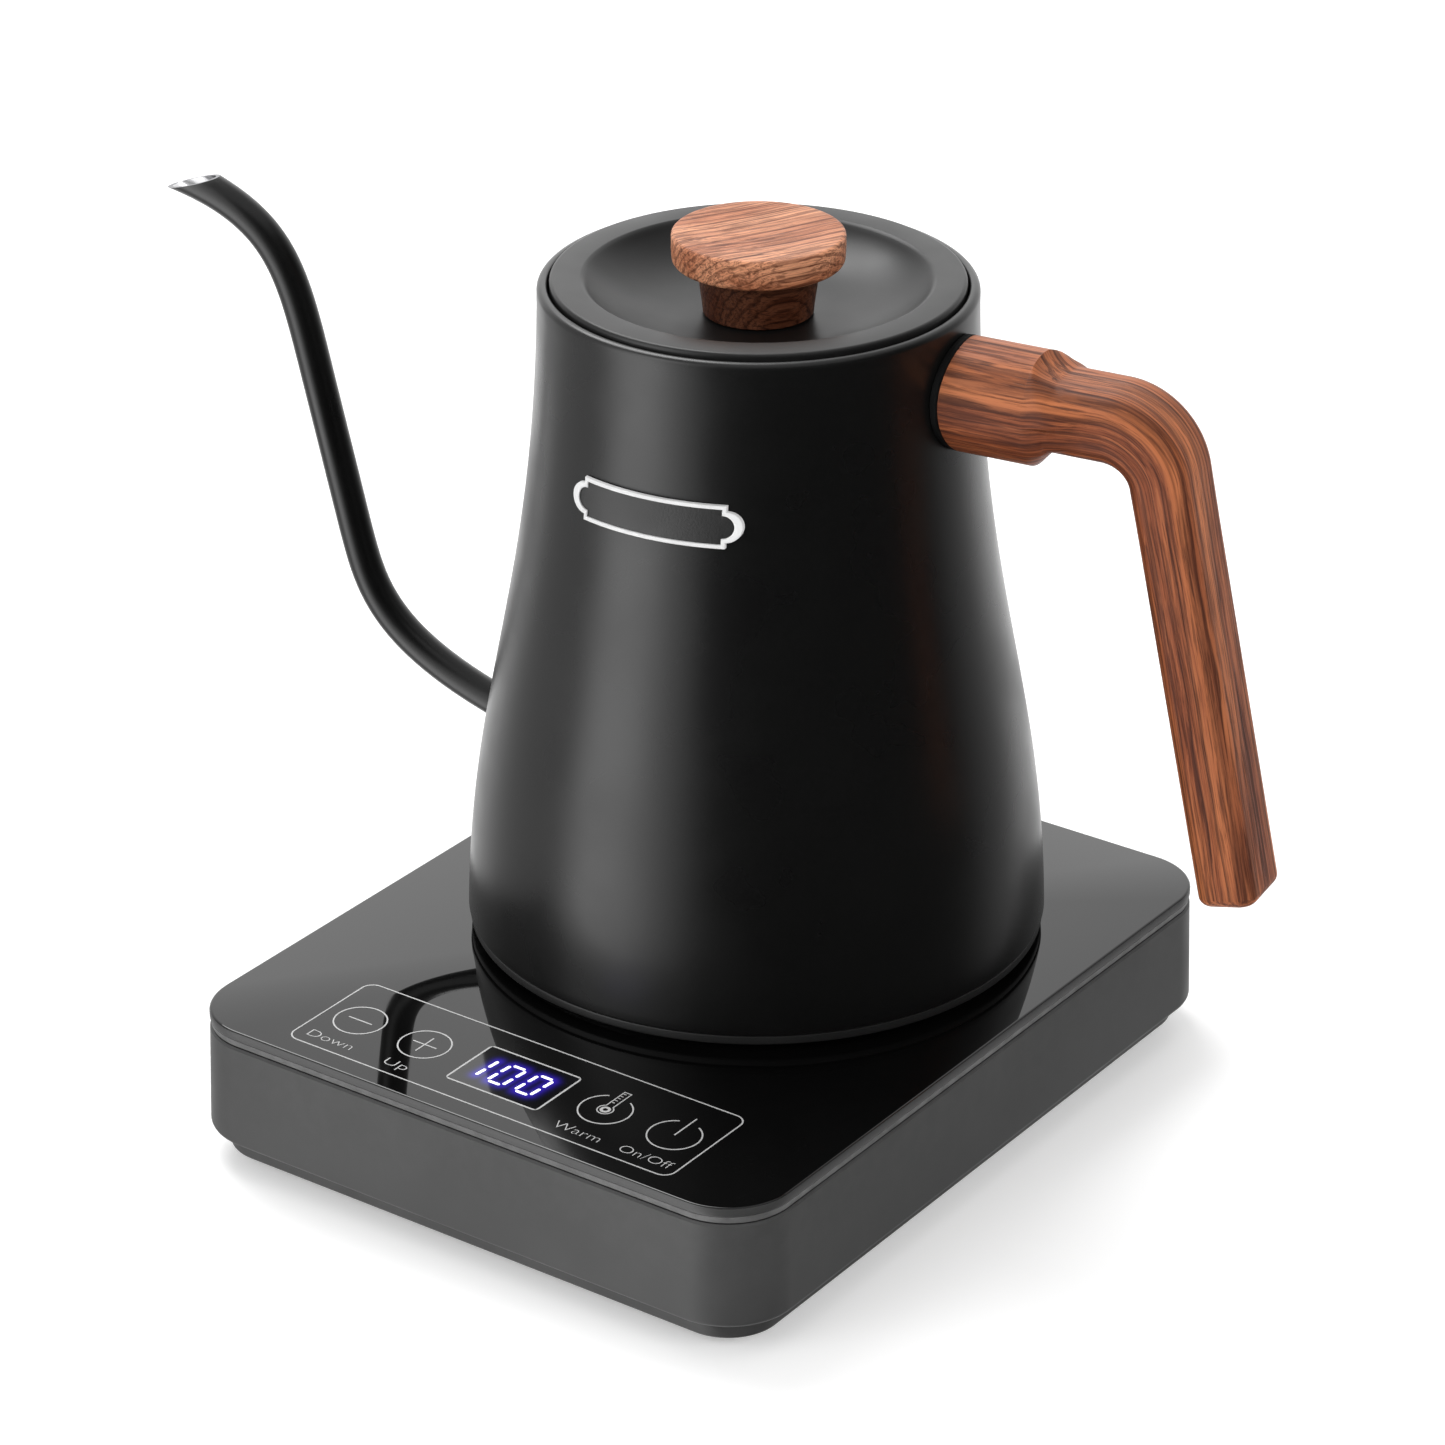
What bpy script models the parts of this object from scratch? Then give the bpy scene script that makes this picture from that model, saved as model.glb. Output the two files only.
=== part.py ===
"""Electric gooseneck kettle with a swept wooden handle, standing on its glass-topped power base.

Metres, +Z up. The origin is the middle of the footprint on the table. The base is square to the axes, its
control strip towards -Y. The kettle has its own frame: an empty on the swivel axis at the height of the glass,
turned a little, with the handle towards its +X and the spout towards its -X.
"""
import math

import bmesh
import bpy
import numpy as np
from mathutils import Matrix, Vector
from mathutils.geometry import interpolate_bezier

# ---- driving dimensions, in metres ----
GAP = 0.0003                      # clearance between pieces that touch on the real kettle
BASE_X = 0.0135                   # middle of the power base
BASE_HALF_X = 0.0806              # glass, half width
BASE_HALF_Y = 0.0993              # glass, half depth
BASE_CORNER = 0.0165              # plan corner radius
GLASS_TOP_Z = 0.0385              # height of the glass above the table
GLASS_THICK = 0.0023
CARRIER_LIP_TOP = 0.0002          # the bezel under the glass runs in from this
CARRIER_LIP_LOW = 0.0011          # to this
WALL_TOP_Z = 0.0341
WALL_BOTTOM_Z = 0.0080
WALL_THICK = 0.0022
WALL_FLARE = 0.0010               # how much wider the wall is at its foot than at its top
COVER_BOTTOM_Z = 0.0025           # the cover shows below the wall as a plinth
COVER_INSET = 0.0036
KETTLE_Y = 0.0190                 # swivel axis behind the middle of the base
KETTLE_TURN = math.radians(8.0)   # how far the kettle stands turned on its base

# heights below are above the glass
SHELL_BOTTOM_Z = 0.0045
SHELL_BOTTOM_R = 0.0691
SHELL_NECK_Z = 0.1580
SHELL_NECK_R = 0.0505
SHELL_THICK = 0.0011
RIM_Z = 0.1624
LEDGE_Z = 0.1581                  # what the lid rests on
LID_TOP_Z = 0.1637
LID_R = 0.0476
DISH_R = 0.0401
DISH_BOTTOM_Z = 0.1550
KNOB_TOP_Z = 0.1746
KNOB_R = 0.0199
FLOOR_Z = 0.0126                  # underside of the pan that holds the water
SPOUT_R = 0.0040
SPOUT_WALL = 0.0008
SPOUT_FLARE = 1.10                # mouth radius over tube radius
HANDLE_Z = 0.1450                 # middle of the collar
ARM_Z = 0.1457                    # middle of the arm beyond it
COLLAR_R = 0.0132
GASKET_THICK = 0.0016
ARM_SECTION = (0.0081, 0.0100, 0.0047)     # half height, half width, corner radius
GRIP_SECTION = (0.0072, 0.0094, 0.0040)
TOP_STEP = (0.0732, 0.0030)       # where the collar steps down to the arm, and over what length
LOW_STEP = (0.0714, 0.0020)
SIDE_STEP = (0.0700, 0.0150)
ARM_END_X = 0.0889
BEND_R = 0.0140
GRIP_LEAN = math.radians(12.0)    # grip from the vertical
GRIP_END_Z = 0.0352
PLAQUE_Z = 0.1247
PLAQUE_HALF_X = 0.0178            # to the step; a round end goes on from there
PLAQUE_HALF_Z = 0.0050
PLAQUE_END_R = 0.0036
STRIP_Y = -0.0780                 # middle of the control strip, from the middle of the base

# ---- shared small dimensions ----
SCREW_R = 0.0015
SCREW_HOLE_R = 0.0018
SCREW_HEAD_R = 0.0028
FOOT_R, FOOT_H, FOOT_X, FOOT_Y = 0.0070, 0.0022, 0.0600, 0.0780
POST_X, POST_Y, POST_BOTTOM_Z = 0.0700, 0.0860, 0.0053
POST_PLACES = [(sx * POST_X, sy * POST_Y) for sx in (-1, 1) for sy in (-1, 1)]
BOARD_Z = 0.0120
BOARD_PLACES = [(sx * 0.0460, y) for sx in (-1, 1) for y in (-0.0560, -0.0140)]
TOUCH_BOARD_Z = 0.0285
KEY_PLACES = {"minus": -0.0438, "plus": -0.0247, "keep_warm": 0.0266, "power": 0.0455}
SOCKET_R = 0.0162
GROOVE_OUT, GROOVE_IN = 0.0110, 0.0070
PIN_HOLE_R, PIN_R = 0.0034, 0.0020
CUP_R, CUP_INNER_R = 0.0190, 0.0168
GLAND_R, GLAND_X, GLAND_Z = 0.0060, -0.0450, 0.0170
SENSOR_PLACE = (-0.0260, -0.0170)
SENSOR_PLUG_R = 0.0025
CUTOUT_PLACE = (0.0, 0.0300)
COVER_SCREWS = [
    (name, 0.0540 * math.cos(math.radians(angle)), 0.0540 * math.sin(math.radians(angle)))
    for name, angle in (("a", 30.0), ("b", 150.0), ("c", 270.0))
]
SPOUT_ROOT = (-0.0620, 0.0375)
SPOUT_END = (-0.1605, 0.1630)
BRACKET_R = 0.0060
HANDLE_SCREW_X = 0.0600

# ---- materials: colour, roughness, metallic ----
FINISHES = {
    "black_coat": ((0.018, 0.018, 0.019), 0.38, 0.0),
    "lid_coat": ((0.030, 0.030, 0.031), 0.50, 0.0),
    "steel": ((0.62, 0.61, 0.59), 0.28, 1.0),
    "aluminium": ((0.70, 0.70, 0.71), 0.40, 1.0),
    "brass": ((0.76, 0.58, 0.28), 0.32, 1.0),
    "wood": ((0.30, 0.13, 0.07), 0.45, 0.0),
    "base_plastic": ((0.075, 0.075, 0.078), 0.55, 0.0),
    "black_plastic": ((0.020, 0.020, 0.021), 0.50, 0.0),
    "glass": ((0.010, 0.010, 0.012), 0.05, 0.0),
    "rubber": ((0.045, 0.045, 0.045), 0.80, 0.0),
    "silicone": ((0.55, 0.55, 0.53), 0.60, 0.0),
    "board_green": ((0.03, 0.16, 0.07), 0.50, 0.0),
    "plaque": ((0.030, 0.030, 0.032), 0.45, 0.0),
}
SMOOTH_ANGLE = math.radians(32.0)


# ---- scene, materials and frames ----
def clear_scene():
    for thing in list(bpy.data.objects):
        bpy.data.objects.remove(thing, do_unlink=True)


def finish(name, kind):
    colour, roughness, metallic = FINISHES[kind]
    material = bpy.data.materials.new(name + "_" + kind)
    material.use_nodes = True
    shader = material.node_tree.nodes["Principled BSDF"]
    shader.inputs["Base Color"].default_value = (*colour, 1.0)
    shader.inputs["Roughness"].default_value = roughness
    shader.inputs["Metallic"].default_value = metallic
    return material


def empty(name, location, turn=0.0, parent=None):
    frame = bpy.data.objects.new(name, None)
    bpy.context.scene.collection.objects.link(frame)
    frame.location = location
    frame.rotation_euler = (0.0, 0.0, turn)
    frame.parent = parent
    return frame


def add_object(name, bm, parent, kind=None, location=(0.0, 0.0, 0.0)):
    """Turn a bmesh into an object with outward faces and smooth shading on its round sides."""
    bmesh.ops.remove_doubles(bm, verts=bm.verts, dist=1e-7)
    bmesh.ops.recalc_face_normals(bm, faces=bm.faces)
    mesh = bpy.data.meshes.new(name)
    bm.to_mesh(mesh)
    bm.free()
    mesh.shade_smooth()
    mesh.set_sharp_from_angle(angle=SMOOTH_ANGLE)
    piece = bpy.data.objects.new(name, mesh)
    bpy.context.scene.collection.objects.link(piece)
    piece.parent = parent
    piece.location = location
    if kind is None:
        piece.hide_render = True
        piece.display_type = "WIRE"
    else:
        mesh.materials.append(finish(name, kind))
    return piece


def combine(piece, tool, operation):
    change = piece.modifiers.new(operation.lower() + "_" + tool.name, "BOOLEAN")
    change.operation = operation
    change.solver = "EXACT"
    change.object = tool


# ---- outlines and solids ----
def outline(corners, steps=3):
    """Closed outline through corners (a, b) or (a, b, fillet radius); each fillet is an arc."""
    points = []
    for index, corner in enumerate(corners):
        here = Vector(corner[:2])
        radius = corner[2] if len(corner) > 2 else 0.0
        if radius == 0.0:
            points.append(here)
            continue
        back = (Vector(corners[index - 1][:2]) - here).normalized()
        ahead = (Vector(corners[(index + 1) % len(corners)][:2]) - here).normalized()
        half = back.angle(ahead) / 2.0
        centre = here + (back + ahead).normalized() * (radius / math.sin(half))
        first = here + back * (radius / math.tan(half)) - centre
        last = here + ahead * (radius / math.tan(half)) - centre
        start = math.atan2(first.y, first.x)
        turn = (math.atan2(last.y, last.x) - start + math.pi) % (2.0 * math.pi) - math.pi
        for step in range(steps + 1):
            angle = start + turn * step / steps
            points.append(centre + Vector((math.cos(angle), math.sin(angle))) * radius)
    return points


def lathe(name, points, parent, kind=None, segments=48, location=(0.0, 0.0, 0.0)):
    """Spin a closed outline of (radius, height) points about the vertical axis."""
    bm = bmesh.new()
    verts = [bm.verts.new((max(p[0], 0.0), 0.0, p[1])) for p in points]
    edges = []
    for index, vert in enumerate(verts):
        after = verts[(index + 1) % len(verts)]
        on_axis = vert.co.x < 1e-9 and after.co.x < 1e-9
        if not on_axis:
            edges.append(bm.edges.new((vert, after)))
    bmesh.ops.spin(
        bm, geom=edges + verts, cent=(0, 0, 0), axis=(0, 0, 1), angle=2.0 * math.pi, steps=segments, use_merge=True
    )
    return add_object(name, bm, parent, kind, location)


def loft(name, loops, parent, kind=None, wrap=False, location=(0.0, 0.0, 0.0)):
    """Join matching loops of points in turn; cap the ends, or wrap the last loop round to the first."""
    bm = bmesh.new()
    rows = [[bm.verts.new(p) for p in loop] for loop in loops]
    pairs = list(zip(rows, rows[1:]))
    if wrap:
        pairs.append((rows[-1], rows[0]))
    else:
        bm.faces.new(rows[0])
        bm.faces.new(rows[-1])
    count = len(rows[0])
    for low, high in pairs:
        for k in range(count):
            after = (k + 1) % count
            bm.faces.new((low[k], low[after], high[after], high[k]))
    return add_object(name, bm, parent, kind, location)


def rounded_rectangle(half_x, half_y, radius, z, steps=6):
    corners = [
        (half_x, half_y, radius),
        (-half_x, half_y, radius),
        (-half_x, -half_y, radius),
        (half_x, -half_y, radius),
    ]
    return [(p.x, p.y, z) for p in outline(corners, steps)]


def base_loop(grow, z):
    """The base's plan outline at a height, grown or shrunk all round."""
    return rounded_rectangle(BASE_HALF_X + grow, BASE_HALF_Y + grow, BASE_CORNER + grow, z)


def box(name, size, parent, kind, location, corner=0.0008):
    half_x, half_y, height = size[0] / 2.0, size[1] / 2.0, size[2]
    levels = (0.0, height)
    loops = [rounded_rectangle(half_x, half_y, corner, z, 2) for z in levels]
    return loft(name, loops, parent, kind, location=location)


def rod(name, radius, low, high, parent, kind=None, location=(0.0, 0.0, 0.0), segments=14):
    points = [(0.0, low), (radius, low), (radius, high), (0.0, high)]
    return lathe(name, points, parent, kind, segments, location)


def cross_rod(name, radius, start, end, parent, kind=None, segments=24):
    """Straight rod between two points."""
    start, end = Vector(start), Vector(end)
    turn = Vector((0, 0, 1)).rotation_difference(end - start).to_matrix().to_4x4()
    place = Matrix.Translation(start) @ turn
    length = (end - start).length
    loops = []
    for height in (0.0, length):
        angles = [2.0 * math.pi * k / segments for k in range(segments)]
        loops.append([place @ Vector((radius * math.cos(a), radius * math.sin(a), height)) for a in angles])
    return loft(name, loops, parent, kind)


def sweep_rows(path, section):
    """Loops of a section carried along a path in the X-Z plane; section(k) gives (in plane, across) points."""
    rows = []
    for k, point in enumerate(path):
        before = path[max(k - 1, 0)]
        after = path[min(k + 1, len(path) - 1)]
        ahead = (after - before).normalized()
        side = Vector((-ahead.y, ahead.x))
        row = []
        for a, b in section(k):
            row.append((point.x + side.x * a, b, point.y + side.y * a))
        rows.append(row)
    return rows


def round_section(radius, count):
    angles = [2.0 * math.pi * k / count for k in range(count)]
    return [(radius * math.cos(a), radius * math.sin(a)) for a in angles]


def bezier_points(start, handle_a, handle_b, end, count):
    points = interpolate_bezier(*(Vector((p[0], p[1], 0.0)) for p in (start, handle_a, handle_b, end)), count)
    return [Vector((p.x, p.y)) for p in points]


# ---- the kettle's outer curve ----
def shell_curve(count):
    """Outer side of the body from its foot to its neck, as (radius, height)."""
    return bezier_points(
        (SHELL_BOTTOM_R, SHELL_BOTTOM_Z), (0.0676, 0.0619), (0.0521, 0.0854), (SHELL_NECK_R, SHELL_NECK_Z), count
    )


SHELL_TABLE = shell_curve(60)


def shell_radius(z):
    return float(np.interp(z, [p.y for p in SHELL_TABLE], [p.x for p in SHELL_TABLE]))


def body_plug(name, grow, parent, low=0.020, high=0.161):
    """Solid of the body's outer form, grown all round, to cut saddles that fit against it."""
    points = [(0.0, high), (shell_radius(high) + grow, high)]
    rings = 16
    for k in range(1, rings + 1):
        z = high + (low - high) * k / rings
        points.append((shell_radius(z) + grow, z))
    points.append((0.0, low))
    return lathe(name, points, parent, segments=72)


# ---- power base ----
def make_base_case(base):
    glass_bottom = GLASS_TOP_Z - GLASS_THICK
    chamfer = 0.0006
    loops = [
        base_loop(-0.0002, glass_bottom),
        base_loop(0.0, glass_bottom + 0.0002),
        base_loop(0.0, GLASS_TOP_Z - chamfer),
        base_loop(-chamfer, GLASS_TOP_Z),
    ]
    glass = loft("glass_top", loops, base, "glass")
    hole = rod("glass_hole_tool", SOCKET_R + GAP, 0.030, 0.045, base, location=(0, KETTLE_Y, 0), segments=36)
    combine(glass, hole, "DIFFERENCE")

    lip_top = glass_bottom - GAP
    lip_bottom = WALL_TOP_Z + GAP
    inset = WALL_THICK + 0.0006
    carrier_bottom = WALL_TOP_Z - 0.0012
    loops = [
        base_loop(-inset, carrier_bottom),
        base_loop(-inset, lip_bottom),
        base_loop(-CARRIER_LIP_LOW, lip_bottom),
        base_loop(-CARRIER_LIP_TOP, lip_top),
    ]
    carrier = loft("glass_carrier", loops, base, "base_plastic")
    posts = []
    for x, y in POST_PLACES:
        post = rod("carrier_post_tool", 0.0035, POST_BOTTOM_Z, carrier_bottom + 0.0006, base, location=(x, y, 0))
        pilot = rod("pilot_tool", SCREW_HOLE_R, POST_BOTTOM_Z - 0.001, 0.0150, base, location=(x, y, 0))
        posts.append((post, pilot))
    for post, pilot in posts:
        combine(carrier, post, "UNION")
    for post, pilot in posts:
        combine(carrier, pilot, "DIFFERENCE")
    hole = rod("carrier_hole_tool", SOCKET_R + GAP, 0.030, 0.045, base, location=(0, KETTLE_Y, 0), segments=36)
    combine(carrier, hole, "DIFFERENCE")
    loops = [rounded_rectangle(0.0560, 0.0145, 0.0020, z, 2) for z in (0.0300, 0.0400)]
    window = loft("window_tool", loops, base, location=(0.0, STRIP_Y, 0.0))
    combine(carrier, window, "DIFFERENCE")

    round_foot = 0.0012
    loops = [
        base_loop(-0.0002, WALL_TOP_Z),
        base_loop(WALL_FLARE - 0.0002, WALL_BOTTOM_Z + round_foot),
        base_loop(WALL_FLARE - 0.0002 - round_foot, WALL_BOTTOM_Z),
        base_loop(WALL_FLARE - WALL_THICK, WALL_BOTTOM_Z),
        base_loop(-WALL_THICK, WALL_TOP_Z),
    ]
    housing = loft("housing_shell", loops, base, "base_plastic", wrap=True)
    port = cross_rod(
        "gland_hole_tool", GLAND_R + GAP, (GLAND_X, BASE_HALF_Y - 0.006, GLAND_Z),
        (GLAND_X, BASE_HALF_Y + 0.006, GLAND_Z), base,
    )
    combine(housing, port, "DIFFERENCE")

    plate_top = COVER_BOTTOM_Z + 0.0024
    loops = [
        base_loop(-COVER_INSET - 0.0008, COVER_BOTTOM_Z),
        base_loop(-COVER_INSET, COVER_BOTTOM_Z + 0.0008),
        base_loop(-COVER_INSET, WALL_BOTTOM_Z + 0.0012),
        base_loop(-COVER_INSET - 0.0018, WALL_BOTTOM_Z + 0.0012),
        base_loop(-COVER_INSET - 0.0018, plate_top),
    ]
    cover = loft("bottom_cover", loops, base, "base_plastic")
    for x, y in POST_PLACES:
        pocket = rod("pocket_tool", SCREW_HEAD_R + GAP, 0.0010, COVER_BOTTOM_Z + 0.0013, base, location=(x, y, 0))
        shank = rod("shank_tool", SCREW_HOLE_R, 0.0010, 0.0080, base, location=(x, y, 0))
        combine(cover, pocket, "DIFFERENCE")
        combine(cover, shank, "DIFFERENCE")
    for x, y in BOARD_PLACES:
        standoff = rod("standoff_tool", 0.0030, plate_top - 0.0006, BOARD_Z - GAP, base, location=(x, y, 0))
        combine(cover, standoff, "UNION")


def make_base_fasteners(base):
    side_names = {-1: "left", 1: "right"}
    end_names = {-1: "front", 1: "rear"}
    for sx in (-1, 1):
        for sy in (-1, 1):
            label = end_names[sy] + "_" + side_names[sx]
            foot = [(0.0, 0.0), (FOOT_R - 0.0005, 0.0), (FOOT_R, 0.0005), (FOOT_R, FOOT_H), (0.0, FOOT_H)]
            lathe("foot_" + label, foot, base, "rubber", 20, (sx * FOOT_X, sy * FOOT_Y, 0.0))
            head_low = COVER_BOTTOM_Z + 0.0003
            head_high = COVER_BOTTOM_Z + 0.0010
            screw = [(0.0, head_low), (SCREW_HEAD_R, head_low), (SCREW_HEAD_R, head_high),
                     (SCREW_R, head_high), (SCREW_R, 0.0140), (0.0, 0.0140)]
            place = (sx * POST_X, sy * POST_Y, 0.0)
            lathe("cover_screw_" + label, screw, base, "steel", 16, place)


def make_base_socket(base):
    """The round half of the cordless connector that stands up through the glass."""
    z = GLASS_TOP_Z
    flange_top = WALL_TOP_Z - 0.0012 - GAP
    body = outline([
        (SOCKET_R, flange_top), (SOCKET_R, z + 0.0088, 0.0008), (GROOVE_OUT, z + 0.0088), (GROOVE_OUT, z + 0.0012),
        (GROOVE_IN, z + 0.0012), (GROOVE_IN, z + 0.0088), (PIN_HOLE_R, z + 0.0088, 0.0005),
        (PIN_HOLE_R, flange_top - 0.0024), (0.0210, flange_top - 0.0024), (0.0210, flange_top),
    ], 2)
    axis = (0.0, KETTLE_Y, 0.0)
    lathe("socket_body", body, base, "black_plastic", 24, axis)
    sleeve = [(PIN_HOLE_R - GAP, z + 0.0005), (PIN_HOLE_R - GAP, z - 0.0090),
              (PIN_R + GAP, z - 0.0090), (PIN_R + GAP, z + 0.0005)]
    lathe("socket_centre_contact", sleeve, base, "brass", 12, axis)
    leaf_low = z + 0.0012 + GAP
    ring = [(GROOVE_OUT - GAP, leaf_low), (GROOVE_OUT - GAP, z + 0.0060),
            (GROOVE_OUT - 0.0009, z + 0.0060), (GROOVE_OUT - 0.0009, leaf_low)]
    lathe("socket_ring_contact", ring, base, "brass", 24, axis)


def make_base_electronics(base):
    box("main_board", (0.1040, 0.0540, 0.0016), base, "board_green", (0.0, -0.0350, BOARD_Z), 0.002)
    on_board = BOARD_Z + 0.0016 + GAP
    box("relay", (0.0190, 0.0155, 0.0150), base, "black_plastic", (-0.0300, -0.0450, on_board))
    box("power_transformer", (0.0240, 0.0200, 0.0165), base, "board_green", (0.0280, -0.0360, on_board))
    can = outline([(0.0, 0.0), (0.0050, 0.0, 0.0005), (0.0050, 0.0130, 0.0005), (0.0, 0.0130)], 2)
    lathe("capacitor", can, base, "aluminium", 20, (0.0, -0.0480, on_board))
    buzzer = [(0.0, 0.0), (0.0060, 0.0), (0.0060, 0.0090), (0.0015, 0.0090), (0.0015, 0.0070), (0.0, 0.0070)]
    lathe("buzzer", buzzer, base, "black_plastic", 24, (-0.0020, -0.0250, on_board))
    box("touch_board", (0.1080, 0.0270, 0.0014), base, "board_green", (0.0, STRIP_Y, TOUCH_BOARD_Z), 0.002)
    face = TOUCH_BOARD_Z + 0.0014 + GAP
    glass_bottom = GLASS_TOP_Z - GLASS_THICK
    box("display_module", (0.0270, 0.0180, glass_bottom - GAP - face), base, "black_plastic", (0.0, STRIP_Y, face))
    for name, x in KEY_PLACES.items():
        make_touch_spring("touch_spring_" + name, base, (x, STRIP_Y, face), glass_bottom - GAP - face)
    inner_wall = BASE_HALF_Y - WALL_THICK
    gland = outline([
        (0.0034, -0.0060), (GLAND_R, -0.0060, 0.0004), (GLAND_R, 0.0031), (0.0080, 0.0031),
        (0.0080, 0.0046, 0.0006), (0.0040, 0.0046), (0.0034, 0.0040),
    ], 2)
    piece = lathe("cord_gland", gland, base, "rubber", 16, (GLAND_X, inner_wall, GLAND_Z))
    piece.rotation_euler = (-math.pi / 2.0, 0.0, 0.0)
    clamp_y = inner_wall - 0.0150
    box("cord_clamp", (0.0180, 0.0070, 0.0050), base, "black_plastic", (GLAND_X, clamp_y, COVER_BOTTOM_Z + 0.0027))


def make_touch_spring(name, base, place, height):
    """Coil under a touch key that carries the key's signal from the glass to the board."""
    turns, per_turn, wire, radius = 3, 8, 0.00045, 0.0042
    count = turns * per_turn + 1
    rise = (height - 2.0 * wire) / (count - 1)
    loops = []
    for k in range(count):
        angle = 2.0 * math.pi * k / per_turn
        outward = Vector((math.cos(angle), math.sin(angle), 0.0))
        centre = outward * radius + Vector((0, 0, wire + rise * k))
        loop = []
        for j in range(4):
            spin = 2.0 * math.pi * j / 4
            loop.append(centre + outward * (wire * math.cos(spin)) + Vector((0, 0, wire * math.sin(spin))))
        loops.append(loop)
    loft(name, loops, base, "steel", location=place)


# ---- connector half that lifts with the kettle ----
def make_connector(frame):
    """The kettle's half of the cordless connector, an inverted cup with a pin and a contact ring."""
    cup = outline([
        (CUP_R, 0.0010), (CUP_R, 0.0116, 0.0006), (PIN_R + GAP, 0.0116), (PIN_R + GAP, 0.0096),
        (CUP_INNER_R, 0.0096), (CUP_INNER_R, 0.0010),
    ], 2)
    lathe("connector_cup", cup, frame, "black_plastic", 24)
    pin = outline([(0.0, 0.0125), (0.0, -0.0040), (PIN_R, -0.0040, 0.0010), (PIN_R, 0.0125)], 2)
    lathe("connector_pin", pin, frame, "brass", 12)
    ring = [(GROOVE_IN + 0.0014, 0.0022), (GROOVE_IN + 0.0014, 0.0093), (GROOVE_IN + GAP, 0.0093),
            (GROOVE_IN + GAP, 0.0022)]
    lathe("connector_ring", ring, frame, "brass", 24)


# ---- kettle body ----
def spout_path():
    """Middle line of the spout: root inside the wall, swept up, straight, then over to the mouth."""
    root = bezier_points(SPOUT_ROOT, (-0.1035, 0.0494), (-0.1058, 0.0640), (-0.1097, 0.0788), 10)
    top = bezier_points((-0.1177, 0.1118), (-0.1256, 0.1440), (-0.1262, 0.1555), SPOUT_END, 12)
    return root + top


def make_body_shell(kettle):
    outer = shell_curve(12)
    outer.reverse()
    inner = [Vector((p.x - SHELL_THICK, p.y)) for p in shell_curve(8)[:-1]]
    crest = outline([
        (0.0463, LEDGE_Z - 0.0030), (0.0463, LEDGE_Z), (0.0480, LEDGE_Z), (0.0480, RIM_Z, 0.0008),
        (SHELL_NECK_R, RIM_Z, 0.0014), (SHELL_NECK_R, LEDGE_Z - 0.0030),
    ], 2)
    points = crest[:-1] + outer + inner
    shell = lathe("body_shell", points, kettle, "black_coat", 48)
    path = spout_path()
    along = (path[1] - path[0]).normalized()
    start = path[0] - along * 0.004
    end = path[0] + along * 0.012
    hole = cross_rod("spout_hole_tool", SPOUT_R + GAP, (start.x, 0, start.y), (end.x, 0, end.y), kettle)
    combine(shell, hole, "DIFFERENCE")


def make_spout(kettle):
    path = spout_path()
    sides = 14
    last = len(path) - 1

    def tube(radius):
        def section(k):
            flare = 1.0 + (SPOUT_FLARE - 1.0) * max(0.0, (k - last + 8) / 8.0) ** 2
            return round_section(radius * flare, sides)
        return sweep_rows(path, section)

    outer = tube(SPOUT_R)
    bore = tube(SPOUT_R - SPOUT_WALL)
    spout = loft("spout_tube", outer + bore[::-1], kettle, "black_coat", wrap=True)
    # the mouth is cut along a plane that falls away outwards
    low = Vector((-0.1589, 0.0, 0.1582))
    high = Vector((-0.1433, 0.0, 0.1632))
    along = (high - low).normalized()
    upward = Vector((-along.z, 0.0, along.x))
    corners = [low - along * 0.015, high + along * 0.030, high + along * 0.030 + upward * 0.020,
               low - along * 0.015 + upward * 0.020]
    loops = [[Vector((p.x, y, p.z)) for p in corners] for y in (-0.012, 0.012)]
    trim = loft("mouth_cut_tool", loops, kettle)
    combine(spout, trim, "DIFFERENCE")


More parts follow.
